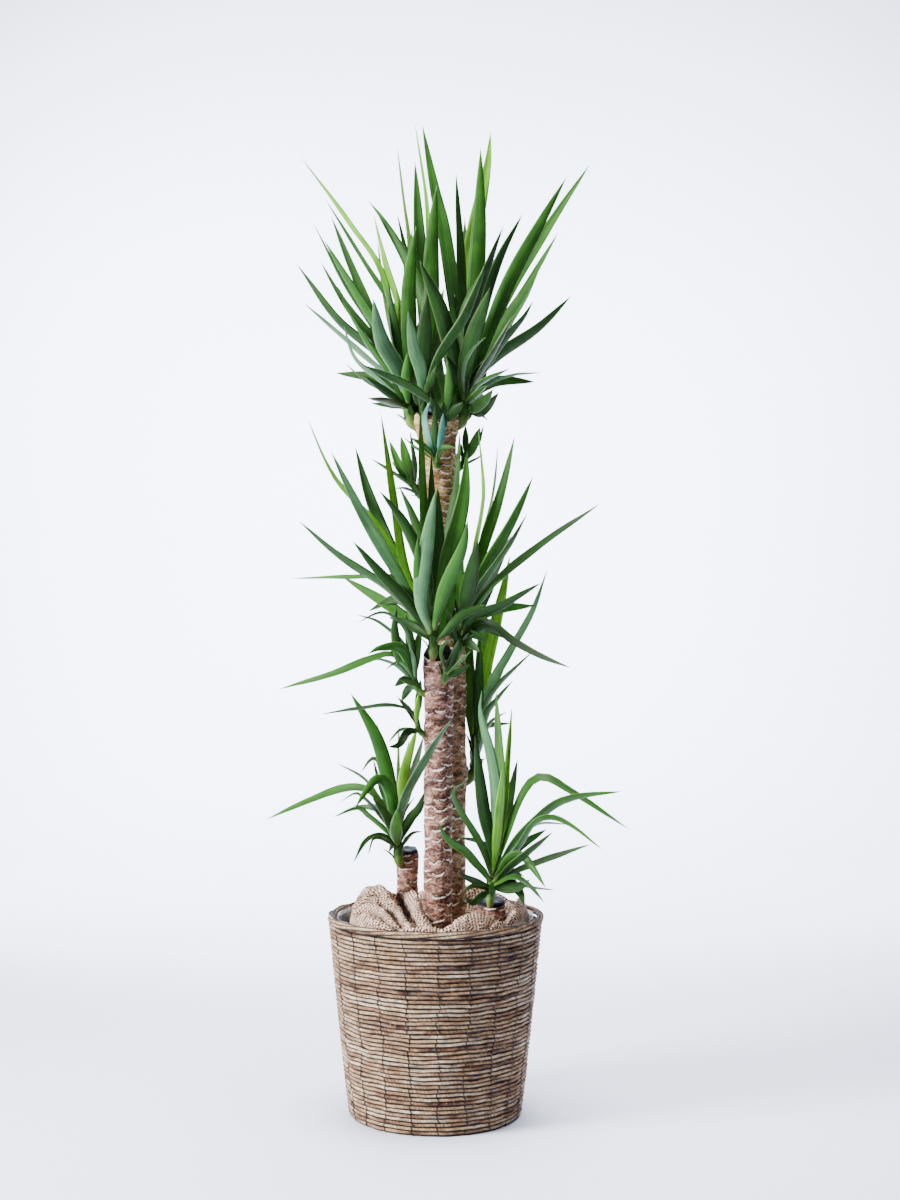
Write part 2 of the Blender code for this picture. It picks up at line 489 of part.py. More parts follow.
def fuse(name, meshes, surface):
    """One body from meshes that run into each other."""
    first = new_object(name, meshes[0], surface)
    others = bpy.data.collections.new(name + " pieces")
    bpy.context.scene.collection.children.link(others)
    for mesh in meshes[1:]:
        others.objects.link(bpy.data.objects.new(name + " piece", mesh))
    union = first.modifiers.new("Fuse", "BOOLEAN")
    union.operation = "UNION"
    union.solver = "MANIFOLD"
    union.operand_type = "COLLECTION"
    union.collection = others
    apply_modifiers(first)
    for piece in list(others.objects):
        bpy.data.objects.remove(piece, do_unlink=True)
    bpy.data.collections.remove(others)
    return first


def seen(x, z, depth):
    """The point at this depth that looks from the front as if at (x, z), given in centimetres."""
    spread = (EYE_DISTANCE + depth * CM) / EYE_DISTANCE
    return Vector((EYE_X + (x * CM - EYE_X) * spread, depth * CM, EYE_Z + (z * CM - EYE_Z) * spread))


def smooth_path(points, per_span=8):
    """A smooth curve through the points, as closely spaced points."""
    path = [points[0]]
    for i in range(len(points) - 1):
        start, end = points[i], points[i + 1]
        before = points[i - 1] if i else start
        after = points[i + 2] if i + 2 < len(points) else end
        reach = (end - start).length / 3
        lean_out = (end - before).normalized() * reach
        lean_in = (after - start).normalized() * reach
        path += interpolate_bezier(start, start + lean_out, end - lean_in, end, per_span + 1)[1:]
    return path


def along(path, share):
    """Point and direction at this share of the path's length."""
    steps = [(b - a).length for a, b in zip(path, path[1:])]
    left = share * sum(steps)
    for i, step in enumerate(steps):
        if left <= step or i == len(steps) - 1:
            direction = (path[i + 1] - path[i]).normalized()
            return path[i] + direction * min(left, step), direction
        left -= step


def cane_radius(cane, height):
    """Radius at a height, with swellings where shoots leave and a slow unevenness."""
    swell = sum(size * math.exp(-((height - at) / 2.5) ** 2) for at, size in cane["knots"])
    return (cane["radius"] + swell + 0.07 * math.sin(height * 0.37) + 0.05 * math.sin(height * 0.9 + 1)) * CM


def cane_mesh(name, cane, extra=0.0, below=0.0):
    path = smooth_path([seen(x, z, cane["depth"]) for x, z in cane["axis"]], 2)
    path[0] = path[0] - Vector((0, 0, below))
    rings = []
    for i, centre in enumerate(path):
        slope = cane["slope"] if i == len(path) - 1 else 0.0
        rings.append(circle(centre, cane_radius(cane, centre.z / CM) + extra, CANE_SIDES, slope))
    return loft_mesh(name, rings)


def cane_cutter(name, gap):
    mesh = cane_mesh("Cane cutter", CANES[name], gap, gap)
    return new_object("Cane cutter", mesh)


def stem_path(shoot):
    return smooth_path([seen(*place) for place in shoot["stem"]], 4)


def stem_mesh(shoot, extra=0.0):
    """A round stem that narrows to a blunt head."""
    path = stem_path(shoot)
    radius = shoot["radius"] * CM + extra
    rings = []
    for share in (0.0, 0.35, 0.7, 1.0):
        centre, direction = along(path, share)
        side = direction.cross(Vector((0, 1, 0))).normalized()
        up = side.cross(direction)
        size = radius * (1.0 - 0.45 * share * share)
        turns = [2 * math.pi * i / STEM_SIDES for i in range(STEM_SIDES)]
        rings.append([centre + (side * math.cos(a) + up * math.sin(a)) * size for a in turns])
    return loft_mesh("Stem", rings)


def rise_of(shoot, leaf):
    """How steeply a leaf leaves the head of its stem, from -1 to 1."""
    depth, place = leaf[1], leaf[2]
    x, z, y = shoot["stem"][-1]
    run = math.hypot(place[0] - x, depth * 0.5)
    return (place[1] - z) / math.hypot(run, place[1] - z)


def root_of(shoot, leaf):
    """Where a leaf starts inside the stem: the flattest leaf lowest, on its own side of the middle."""
    order = sorted(shoot["leaves"], key=lambda other: rise_of(shoot, other))
    rank = order.index(leaf)
    share = rank / max(1, len(order) - 1)
    middle = along(stem_path(shoot), ROOT_LOWEST + (ROOT_HIGHEST - ROOT_LOWEST) * share)[0]
    heading = math.atan2(leaf[1] * 0.5, leaf[2][0] - shoot["stem"][-1][0]) + 0.1 * math.sin(rank)
    aside = shoot["radius"] * CM * ROOT_ASIDE
    return middle + Vector((math.cos(heading), math.sin(heading), 0)) * aside


def leaf_path(shoot, leaf):
    """The curve of a leaf's middle from inside the stem to the tip."""
    depth, places = leaf[1], leaf[2:]
    root = root_of(shoot, leaf)
    xs = [root.x / CM] + [x for x, _ in places]
    zs = [root.z / CM] + [z for _, z in places]
    runs = [math.hypot(x2 - x1, z2 - z1) for x1, x2, z1, z2 in zip(xs, xs[1:], zs, zs[1:])]
    total = sum(runs)
    points = [root]
    for i, (x, z) in enumerate(places):
        share = sum(runs[: i + 1]) / total
        points.append(seen(x, z, root.y / CM + depth * share ** 0.8))
    return smooth_path(points)


def blade_profile(share):
    """Width along a leaf: a neck above the base, widest near the middle, then a sharp tip."""
    if share < 0.42:
        rise = share / 0.42
        return BLADE_NECK + (1 - BLADE_NECK) * rise * rise * (3 - 2 * rise)
    return 1.0 - ((share - 0.42) / 0.58) ** 2.2


def blade_frames(path, shares, seen_width, full_width):
    """Centre, sideways and upward directions along a blade that shows the seen width from the front."""
    found = []
    for share in shares:
        centre, direction = along(path, share)
        view = (centre - Vector((EYE_X, -EYE_DISTANCE, EYE_Z))).normalized()
        flat = view.cross(direction).normalized()
        if found and flat.dot(found[-1][2]) < 0:
            flat = -flat
        found.append((centre, direction, flat))
    flat_share = min(1.0, seen_width / full_width)
    deep_share = math.sqrt(1.0 - flat_share ** 2)

    def turned_by(tilt, direction, flat):
        side = flat * flat_share + direction.cross(flat) * deep_share * tilt
        return side, side.cross(direction)

    centre, direction, flat = found[len(found) // 2]
    inward = Vector((0, 0, 1)) - (centre - path[0]).normalized() * 0.6
    facing = {tilt: turned_by(tilt, direction, flat)[1].dot(inward) for tilt in (1, -1)}
    tilt = max(facing, key=lambda each: abs(facing[each]))
    frames = []
    for centre, direction, flat in found:
        side, up = turned_by(tilt, direction, flat)
        frames.append((centre, side, up if facing[tilt] > 0 else -up))
    return frames


def blade_mesh(shoot, leaf):
    """A blade with a flat upper face and a keel below, three points to a ring."""
    path = leaf_path(shoot, leaf)
    length = sum((b - a).length for a, b in zip(path, path[1:]))
    seen_width = leaf[0] * CM
    full_width = max(seen_width, FULL_WIDTH * min(1.0, 0.35 + length / (45 * CM)))
    segments = min(BLADE_SEGMENTS[1], max(BLADE_SEGMENTS[0], round(length / BLADE_SPAN)))
    shares = [step / segments for step in range(segments)]
    rings = []
    for share, (centre, side, up) in zip(shares, blade_frames(path, shares, seen_width, full_width)):
        half = full_width / 2 * blade_profile(share)
        keel = BLADE_THICKNESS * (1.0 - 0.4 * share)
        rings.append([centre + side * half, centre - side * half, centre - up * keel])
    rings.append([path[-1]])
    return loft_mesh("Blade", rings)


def make_canes(bark, wax):
    for name, cane in CANES.items():
        new_object("cane_" + name, cane_mesh("cane_" + name, cane), bark)
        top = seen(*cane["axis"][-1], cane["depth"])
        radius = cane_radius(cane, top.z / CM) * CAP_SHARE
        rings = [
            circle(top + Vector((0, 0, GAP)), radius, CANE_SIDES, cane["slope"]),
            circle(top + Vector((0, 0, CAP_HEIGHT * 0.55)), radius * 0.95, CANE_SIDES, cane["slope"]),
            circle(top + Vector((0, 0, CAP_HEIGHT)), radius * 0.62, CANE_SIDES, cane["slope"]),
        ]
        cap = new_object("cap_" + name, loft_mesh("cap_" + name, rings), wax)
        if name in NOTCHED:
            carve(cap, new_object("Stem cutter", stem_mesh(SHOOTS[NOTCHED[name]], GAP)))


def make_shoots(leaf_green):
    for name, shoot in SHOOTS.items():
        blades = [blade_mesh(shoot, leaf) for leaf in shoot["leaves"]]
        made = fuse("shoot_" + name, [stem_mesh(shoot)] + blades, leaf_green)
        carve(made, cane_cutter(shoot["cane"], GAP), "MANIFOLD")
        keep_largest(made.data)


def basket_radius(height):
    share = height / BASKET_HEIGHT
    return BASKET_FOOT_RADIUS + (BASKET_TOP_RADIUS - BASKET_FOOT_RADIUS) * share ** 0.9


def make_basket(rope):
    """Wall of stacked rope rows with a flat bottom, and the thicker rope that closes the edge."""
    pitch = BASKET_HEIGHT / ROPE_ROWS
    outside = [(BASKET_FOOT_RADIUS - ROPE_GROOVE, 0.0)]
    for row in range(ROPE_ROWS):
        middle = (row + 0.5) * pitch
        outside.append((basket_radius(middle), middle))
        top = (row + 1) * pitch
        outside.append((basket_radius(top) - ROPE_GROOVE, top))
    inside_top = basket_radius(BASKET_HEIGHT) - BASKET_WALL
    inside_foot = basket_radius(BASKET_BOTTOM) - BASKET_WALL
    profile = [(0, 0.0)] + outside + [(inside_top, BASKET_HEIGHT), (inside_foot, BASKET_BOTTOM), (0, BASKET_BOTTOM)]
    turned("basket", profile, BASKET_SIDES, rope)
    bpy.ops.mesh.primitive_torus_add(
        major_radius=RIM_RADIUS, minor_radius=RIM_ROPE_RADIUS, major_segments=BASKET_SIDES, minor_segments=6,
        location=(0, 0, BASKET_HEIGHT + GAP + RIM_ROPE_RADIUS))
    rim = bpy.context.object
    rim.name = "basket_rim"
    rim.data.materials.append(rope)
    rim.data.shade_smooth()


def make_liner(film):
    """Thin film over the inside of the basket, with a ruffled edge that stands above the cloth."""
    top_outer = RIM_RADIUS - RIM_ROPE_RADIUS - 2 * GAP
    wall_foot = basket_radius(BASKET_BOTTOM) - BASKET_WALL - 2 * GAP
    wall_top = min(top_outer, basket_radius(BASKET_HEIGHT) - BASKET_WALL - 2 * GAP)
    floor = BASKET_BOTTOM + GAP
    heights = [floor, BASKET_HEIGHT - 0.6 * CM]

    def wall(height):
        return wall_foot + (wall_top - wall_foot) * (height - BASKET_BOTTOM) / (BASKET_HEIGHT - BASKET_BOTTOM)

    def edge(inset):
        points = circle((0, 0, LINER_TOP), wall_top - inset, BASKET_SIDES)
        for i, point in enumerate(points):
            point.z += LINER_RUFFLE * math.sin(i * 2.1) * math.sin(i * 0.7 + 1)
        return points

    rings = [[Vector((0, 0, floor))]]
    rings += [circle((0, 0, z), wall(z), BASKET_SIDES) for z in heights]
    rings.append(edge(0.0))
    rings.append(edge(LINER_THICKNESS))
    inner = [floor + LINER_THICKNESS] + heights[1:]
    rings += [circle((0, 0, z), wall(z) - LINER_THICKNESS, BASKET_SIDES) for z in reversed(inner)]
    rings.append([Vector((0, 0, floor + LINER_THICKNESS))])
    new_object("liner", loft_mesh("liner", rings), film)


def pot_floor():
    return BASKET_BOTTOM + LINER_THICKNESS + 2 * GAP


def make_pot(plastic):
    floor = pot_floor()
    top = floor + POT_HEIGHT
    profile = [
        (0, floor), (POT_FOOT_RADIUS, floor), (POT_TOP_RADIUS - 0.1 * CM, top - 1.5 * CM),
        (POT_TOP_RADIUS + POT_LIP, top - 1.5 * CM), (POT_TOP_RADIUS + POT_LIP, top),
        (POT_TOP_RADIUS - POT_WALL, top), (POT_FOOT_RADIUS - POT_WALL, floor + POT_WALL), (0, floor + POT_WALL),
    ]
    turned("nursery_pot", profile, 24, plastic)


def make_soil(earth):
    floor = pot_floor() + POT_WALL + GAP
    share = (SOIL_TOP - floor) / POT_HEIGHT
    foot = POT_FOOT_RADIUS - POT_WALL - 4 * GAP
    top = foot + (POT_TOP_RADIUS - POT_FOOT_RADIUS) * share - 4 * GAP
    soil = turned("soil", [(0, floor), (foot, floor), (top, SOIL_TOP), (0, SOIL_TOP)], 24, earth)
    for name in CANES:
        carve(soil, cane_cutter(name, GAP))


def burlap_height(x, y):
    """Height of the bundled cloth: a high fold at the back left, ridges at the right, low round the canes."""
    def mound(at_x, at_y, wide, deep, high):
        return high * math.exp(-((x - at_x) / wide) ** 2 - ((y - at_y) / deep) ** 2)

    height = BURLAP_LEVEL / CM
    height += mound(-10.6, 4.0, 3.4, 5.5, 3.8) + mound(-7.0, -4.5, 2.6, 4.0, 1.2)
    height += mound(-3.8, 1.2, 1.9, 3.8, 4.6) + mound(5.0, -11.0, 2.6, 3.2, 1.7)
    height += mound(14.0, 0.5, 2.6, 4.5, 2.8) + mound(11.5, -10.5, 2.2, 2.4, 1.6)
    height += mound(2.0, 12.0, 8.0, 3.0, 2.2) + mound(-1.0, -15.5, 9.0, 1.8, 0.8)
    height -= mound(4.0, -5.0, 3.0, 3.0, 1.6) + mound(9.4, -6.5, 2.6, 2.0, 0.8)
    height += 0.3 * math.sin(x * 0.9 + y * 0.5) * math.sin(y * 0.8 - x * 0.3)
    return height * CM


def burlap_ring(share, sides):
    """A level ring at this share of the cloth's reach, which is less at the left."""
    ring = circle((0, 0, 0), 1.0, sides)
    return [point * share * (BURLAP_RADIUS - BURLAP_TUCK * min(0.0, point.x) ** 4) for point in ring]


def make_burlap(jute):
    """Cloth bundled over the pot and round the canes, as one soft body."""
    low = pot_floor() + POT_HEIGHT + GAP
    sides = 20
    rings = [[Vector((0, 0, burlap_height(0, 0)))]]
    for share in (0.2, 0.4, 0.6, 0.78, 0.92, 1.0):
        ring = burlap_ring(share, sides)
        for point in ring:
            drop = 1.0 * CM if share == 1.0 else 0.0
            point.z = burlap_height(point.x / CM, point.y / CM) - drop
        rings.append(ring)
    foot = burlap_ring(0.945, sides)
    for point in foot:
        point.z = low
    rings.append(foot)
    rings.append([Vector((0, 0, low))])
    burlap = new_object("burlap", loft_mesh("burlap", rings), jute)
    for name in CANES:
        carve(burlap, cane_cutter(name, BURLAP_CLEARANCE))


def build():
    clear_scene()
    rope = material("Jute rope", (0.42, 0.33, 0.22), 0.85)
    film = material("Clear film", (0.72, 0.74, 0.76), 0.25)
    plastic = material("Black pot plastic", (0.03, 0.03, 0.03), 0.5)
    earth = material("Potting soil", (0.05, 0.035, 0.02), 0.95)
    jute = material("Burlap", (0.52, 0.40, 0.28), 0.9)
    bark = material("Yucca bark", (0.28, 0.19, 0.13), 0.85)
    wax = material("Sealing wax", (0.03, 0.02, 0.025), 0.4)
    leaf_green = material("Yucca leaf", (0.10, 0.20, 0.06), 0.4)
    make_basket(rope)
    make_liner(film)
    make_pot(plastic)
    make_soil(earth)
    make_burlap(jute)
    make_canes(bark, wax)
    make_shoots(leaf_green)


build()
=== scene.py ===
# Potted yucca: four canes with leafy shoots in a sewn rope basket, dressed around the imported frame.
# Metres, +Z up, the front faces -Y. Places in the plant's tables are in centimetres.

import functools
import math
import random

import bpy
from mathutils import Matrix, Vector, noise
from mathutils.geometry import interpolate_bezier


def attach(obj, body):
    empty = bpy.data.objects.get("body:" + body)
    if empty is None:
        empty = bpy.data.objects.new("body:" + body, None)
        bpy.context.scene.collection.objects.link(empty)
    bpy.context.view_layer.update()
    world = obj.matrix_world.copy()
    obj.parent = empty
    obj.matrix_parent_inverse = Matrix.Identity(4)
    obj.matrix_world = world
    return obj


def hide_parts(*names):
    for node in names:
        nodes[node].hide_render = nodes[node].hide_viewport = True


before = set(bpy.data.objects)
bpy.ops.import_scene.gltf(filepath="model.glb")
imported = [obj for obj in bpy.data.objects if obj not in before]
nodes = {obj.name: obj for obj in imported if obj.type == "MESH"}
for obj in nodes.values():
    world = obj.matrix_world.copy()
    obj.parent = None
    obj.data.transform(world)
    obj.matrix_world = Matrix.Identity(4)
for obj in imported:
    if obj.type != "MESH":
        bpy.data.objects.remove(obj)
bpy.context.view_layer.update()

cm = 0.01
mm = 0.001


def colour(hexCode):  # sRGB hex to linear
    parts = [int(hexCode[i:i + 2], 16) / 255 for i in (1, 3, 5)]
    return tuple(c / 12.92 if c <= 0.04045 else ((c + 0.055) / 1.055) ** 2.4 for c in parts) + (1.0,)


def plain(value):  # a hex code as its colour, anything else as it is
    return colour(value) if isinstance(value, str) and value.startswith("#") else value


families = ("ShaderNode", "GeometryNode", "FunctionNode", "")
signs = {"+": "Math:ADD", "-": "Math:SUBTRACT", "*": "Math:MULTIPLY", "/": "Math:DIVIDE",
         "*+": "Math:MULTIPLY_ADD"}
mixing = dict(out=2, data_type="RGBA")  # a Mix node's settings for colours


def addNode(tree, kind, *values, out=0, stops=(), **settings):
    # kind is a sign, or a node's name without its family, with its operation after a colon; returns an output
    kind, _, operation = signs.get(kind, kind).partition(":")
    node = tree.nodes.new(next(each + kind for each in families if hasattr(bpy.types, each + kind)))
    if operation:
        node.operation = operation
    for name, value in settings.items():
        setattr(node, name, value)
    for i, value in enumerate(values):  # plain values go to the inputs in turn, a dictionary names its own
        for key, part in value.items() if isinstance(value, dict) else [(i, value)]:
            if isinstance(part, bpy.types.NodeSocket):
                tree.links.new(part, node.inputs[key])
            else:
                node.inputs[key].default_value = plain(part)
    for i, (place, hexCode) in enumerate(stops):
        elements = node.color_ramp.elements
        element = elements[i] if i < len(elements) else elements.new(place)
        element.position = place
        element.color = colour(hexCode)
    return node.outputs[out] if len(node.outputs) else node


def newMaterial(name, settings):  # returns the material, what adds nodes to it, and places on the object
    made = bpy.data.materials.new(name)
    made.use_nodes = True
    shader = made.node_tree.nodes["Principled BSDF"]
    for key, value in settings.items():
        shader.inputs[key].default_value = plain(value)
    make = functools.partial(addNode, made.node_tree)
    return made, make, make("TexCoord", out=3)


def feed(made, links):  # joins outputs to the shader's inputs
    shader = made.node_tree.nodes["Principled BSDF"]
    for key, socket in links.items():
        made.node_tree.links.new(socket, shader.inputs[key])
    return made


def placed(name, data):  # a new object in the scene, at the origin
    thing = bpy.data.objects.new(name, data)
    bpy.context.scene.collection.objects.link(thing)
    return thing


def newPiece(name, mesh, material, replaced=()):
    mesh.materials.clear()  # instances leave an empty slot
    mesh.materials.append(material)
    mesh.shade_smooth()
    piece = placed(name, mesh)
    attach(piece, "root")
    if replaced:
        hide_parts(*replaced)
    return piece


def meshOf(name, points, faces, uvs=None, layers=None):  # uvs and layers are lists, one value a point
    mesh = bpy.data.meshes.new(name)
    mesh.from_pydata(points, [], faces)
    if uvs:
        layer = mesh.uv_layers.new(name="UVMap")
        corners = [0] * len(mesh.loops)
        mesh.loops.foreach_get("vertex_index", corners)
        layer.data.foreach_set("uv", [part for corner in corners for part in uvs[corner]])
    for key, values in (layers or {}).items():
        wide = isinstance(values[0], tuple)
        layer = mesh.attributes.new(key, "FLOAT_COLOR" if wide else "FLOAT", "POINT")
        flat = [part for value in values for part in value] if wide else values
        layer.data.foreach_set("color" if wide else "value", flat)
    return mesh


def ringFaces(first, rings, around, closed=True):  # quads between rings of points; first is a point's number
    faces = []
    for i in range(rings - 1):
        for j in range(around if closed else around - 1):
            a = first + i * around + j
            b = first + i * around + (j + 1) % around
            faces.append((a, b, b + around, a + around))
    return faces


def tubeFaces(first, rings, around):  # the same, with both ends closed
    last = first + (rings - 1) * around
    ends = [tuple(reversed(range(first, first + around))), tuple(range(last, last + around))]
    return ringFaces(first, rings, around) + ends


def baked(holder):  # its mesh with the modifiers applied, and the object gone
    graph = bpy.context.evaluated_depsgraph_get()
    mesh = bpy.data.meshes.new_from_object(holder.evaluated_get(graph))
    mesh.name = holder.name
    bpy.data.objects.remove(holder, do_unlink=True)
    return mesh


def runTree(name, tree, values):  # the tree's result as a plain mesh; values may hold more than it takes
    holder = placed(name, bpy.data.meshes.new(name))
    modifier = holder.modifiers.new("Made", "NODES")
    modifier.node_group = tree
    for item in tree.interface.items_tree:
        if item.in_out == "INPUT" and item.name in values:
            value = values[item.name]
            modifier[item.identifier] = float(value) if item.socket_type == "NodeSocketFloat" else value
    return baked(holder)


def newTree(name, sockets):  # sockets: names by type; returns the tree, what adds nodes, and its inputs
    tree = bpy.data.node_groups.new(name, "GeometryNodeTree")
    tree.interface.new_socket("Geometry", in_out="OUTPUT", socket_type="NodeSocketGeometry")
    for kind, names in sockets.items():
        for socketName in names.split():
            tree.interface.new_socket(socketName, in_out="INPUT", socket_type="NodeSocket" + kind)
    group = tree.nodes.new("NodeGroupInput")
    given = {socket.name: socket for socket in group.outputs if socket.name}
    return tree, functools.partial(addNode, tree), given


# Camera, floor and light

viewFrom = dict(place=(2.47 * cm, -298.7 * cm, 86.9 * cm), imageTall=1200, focalPixels=1757)


def makeCamera():
    lens = bpy.data.cameras.new("Camera")
    lens.sensor_width = 36
    lens.lens = viewFrom["focalPixels"] / viewFrom["imageTall"] * lens.sensor_width
    camera = placed("Camera", lens)
    camera.location = viewFrom["place"]
    camera.rotation_euler = (math.radians(90), 0, 0)
    bpy.context.scene.camera = camera


studio = dict(
    paper="#ebefff", grain="#e3e9ff", sky="#eef2fc", skyStrength=0.06,
    floorHalf=6.0, backAt=3.0, backTall=6.0, bend=1.2, bendSteps=12,
    lights=[  # name, place, aimed at, size, watts, spread in degrees
        ("Key", (-3.0, -1.3, 1.7), (0, 0, 0.7), 1.2, 190, 120),
        ("Top", (0.2, 0.0, 3.9), (0.1, 0, 0.0), 2.0, 75, 70),
        ("Paper left", (-2.2, 0.9, 2.7), (-0.5, 3.8, 1.2), 1.2, 360, 110),
        ("Paper right", (2.2, 0.9, 2.7), (0.5, 3.8, 1.2), 1.2, 240, 110),
    ])


def makeStudio():
    world = bpy.data.worlds.new("Studio")
    bpy.context.scene.world = world
    world.use_nodes = True
    back = world.node_tree.nodes["Background"]
    back.inputs["Color"].default_value = colour(studio["sky"])
    back.inputs["Strength"].default_value = studio["skyStrength"]
    half, reach, bend = studio["floorHalf"], studio["backAt"], studio["bend"]
    profile = [(-half, 0.0), (reach, 0.0)]  # the paper runs back, then curves up
    for i in range(1, studio["bendSteps"] + 1):
        turn = math.radians(90) * i / studio["bendSteps"]
        profile.append((reach + bend * math.sin(turn), bend * (1 - math.cos(turn))))
    profile.append((reach + bend, studio["backTall"]))
    points = [(x, y, z) for y, z in profile for x in (-half, half)]
    mesh = meshOf("studio_paper", points, ringFaces(0, len(profile), 2, False))
    paper, make, _ = newMaterial("Seamless paper, matte", {"Roughness": 0.9})
    grain = make("TexNoise", {"Scale": 400.0})
    tint = make("Mix", {"Factor": grain, 6: studio["paper"], 7: studio["grain"]}, **mixing)
    feed(paper, {"Base Color": tint})
    mesh.materials.append(paper)
    mesh.shade_smooth()
    floor = placed("studio_paper", mesh)
    for name, place, target, size, watts, spread in studio["lights"]:
        light = bpy.data.lights.new(name, "AREA")
        light.size = size
        light.energy = watts
        light.spread = math.radians(spread)
        holder = placed(name, light)
        holder.location = place
        holder.rotation_euler = (Vector(target) - Vector(place)).to_track_quat("-Z", "Y").to_euler()


makeCamera()
makeStudio()
print("camera, paper and lights ready")


# Basket: rows of twisted plant-fibre rope sewn one on another

basket = dict(height=32.42 * cm, footRadius=14.5 * cm, topRadius=18.0 * cm, rope=3.95 * mm, twists=150.0)

wall = dict(
    rows=46, power=0.9, ropeRadius=basket["rope"], segments=216, sides=10,
    footRadius=basket["footRadius"] - basket["rope"] + 1.0 * mm,
    topRadius=basket["topRadius"] - basket["rope"],
    lowest=basket["rope"] + 0.7 * mm, rise=basket["height"] - 2 * basket["rope"] - 0.7 * mm,
    wobble=3.0 * mm, sway=7.0 * mm, bulge=1.1 * mm, columns=21, frontColumn=math.radians(-92.4),
    strandOffset=0.0, turns=0.0)

baseCoil = dict(
    wall, rows=19, power=1.0, segments=96, sides=6, footRadius=basket["rope"],
    topRadius=basket["footRadius"] - 2.4 * basket["rope"], lowest=basket["rope"] + 0.6 * mm, rise=0.0,
    wobble=0.3 * mm, sway=0.0, bulge=0.0)

rimRope = dict(
    wall, rows=3, ropeRadius=3.7 * mm, footRadius=17.75 * cm, topRadius=17.75 * cm,
    lowest=basket["height"] + 7.3 * mm, rise=0.0, wobble=0.8 * mm, sway=0.0, bulge=0.3 * mm,
    strandOffset=3.2 * mm, turns=5.0)

sewing = dict(
    wall, wireRadius=0.95 * mm, ropeRadius=wall["ropeRadius"] + 0.25 * mm, lowest=wall["lowest"] + 0.5 * mm,
    rise=wall["rise"] - 0.5 * mm, seed=4, reach=78, bendPoints=7, wireSides=4)

ropeFibres = dict(amount=2600, length=9.0 * mm, thickness=0.24 * mm, lowest=10.8 * mm, seed=4)


def rowPlace(make, given, share):  # a row's radius and height
    flare = make("-", given["topRadius"], given["footRadius"])
    radius = make("*+", flare, make("Math:POWER", share, given["power"]), given["footRadius"])
    return radius, make("*+", given["rise"], share, given["lowest"])


def ropeTree():
    # level rings of rope, or strands laid round one ring, with attributes row, ropeCentre and ropeSide
    tree, make, given = newTree("Coiled rope rows", {
        "Int": "rows segments sides", "Float": "footRadius topRadius power lowest rise ropeRadius wobble "
        "sway bulge columns frontColumn strandOffset turns"})
    index = make("InputIndex")
    last = make("Math:MAXIMUM", make("-", given["rows"], 1.0), 1.0)
    share = make("/", index, last)
    radius, height = rowPlace(make, given, share)
    points = make("Points", {"Count": given["rows"], "Position": make("CombineXYZ", {2: height})})
    ring = make("CurvePrimitiveCircle", {"Resolution": given["segments"], "Radius": 1.0})
    size = make("CombineXYZ", radius, radius, 1.0)
    rings = make("InstanceOnPoints", {"Points": points, "Instance": ring, "Scale": size})
    numbered = make("StoreNamedAttribute", {"Geometry": rings, "Name": "row", "Value": index},
                    data_type="FLOAT", domain="INSTANCE")
    curves = make("RealizeInstances", numbered)
    row = make("InputNamedAttribute", {"Name": "row"}, data_type="FLOAT")
    place = make("InputPosition")
    parts = make("SeparateXYZ", place).node.outputs
    turn = make("Math:ARCTAN2", parts[1], parts[0])
    outward = make("VectorMath:NORMALIZE", make("CombineXYZ", parts[0], parts[1], 0.0))
    # slow unevenness of its own in each row
    around = make("VectorMath:SCALE", outward, {"Scale": 4.5})
    spot = make("VectorMath:ADD", around, make("CombineXYZ", {2: make("*", row, 5.3)}))
    uneven = make("TexNoise", {"Vector": spot, "Scale": 1.0, "Detail": 2.0}, out=1)
    unevenParts = make("SeparateXYZ", uneven).node.outputs
    wobble = make("*", make("-", unevenParts[0], 0.5), given["wobble"])
    ownLift = make("*", make("-", unevenParts[1], 0.5), given["wobble"])
    # neighbouring rows sway up and down together, least at the foot and the top
    shared = make("VectorMath:ADD", make("VectorMath:SCALE", outward, {"Scale": 2.6}),
                  make("CombineXYZ", {2: make("*", row, 0.11)}))
    swaying = make("-", make("TexNoise", {"Vector": shared, "Scale": 1.0, "Detail": 1.0}), 0.5)
    held = make("Math:SINE", make("*", make("/", row, last), math.pi))
    lift = make("*+", make("*", swaying, held), given["sway"], ownLift)
    fromFront = make("-", turn, given["frontColumn"])
    columnTurn = make("*", fromFront, make("*", given["columns"], 0.5))
    pulled = make("Math:POWER", make("Math:ABSOLUTE", make("Math:SINE", columnTurn)), 0.6)  # 0 where sewn
    swell = make("*", make("-", pulled, 1.0), given["bulge"])
    # strands laid round each other, on the rim
    start = make("*", row, make("/", math.tau, given["rows"]))
    wound = make("*+", turn, given["turns"], start)
    aside = make("*", make("Math:COSINE", wound), given["strandOffset"])
    above = make("*+", make("Math:SINE", wound), given["strandOffset"], lift)
    push = make("+", make("*+", wobble, 2.0, swell), aside)
    outPush = make("VectorMath:SCALE", outward, {"Scale": push})
    offset = make("VectorMath:ADD", outPush, make("CombineXYZ", {2: above}))
    moved = make("SetPosition", {"Geometry": curves, "Offset": offset})
    centred = make("StoreNamedAttribute", {
        "Geometry": moved, "Name": "ropeCentre", "Value": place}, data_type="FLOAT_VECTOR", domain="POINT")
    profile = make("CurvePrimitiveCircle", {
        "Resolution": given["sides"], "Radius": given["ropeRadius"]})
    plump = make("*+", unevenParts[2], 0.7, 0.66)
    tubes = make("CurveToMesh", {"Curve": centred, "Profile Curve": profile, "Scale": plump})
    ropeCentre = make("InputNamedAttribute", {"Name": "ropeCentre"}, data_type="FLOAT_VECTOR")
    side = make("VectorMath:SCALE", make("VectorMath:SUBTRACT", place, ropeCentre), {
        "Scale": make("/", 1.0, given["ropeRadius"])})
    sided = make("StoreNamedAttribute", {
        "Geometry": tubes, "Name": "ropeSide", "Value": side}, data_type="FLOAT_VECTOR", domain="POINT")
    make("NodeGroupOutput", sided)
    return tree


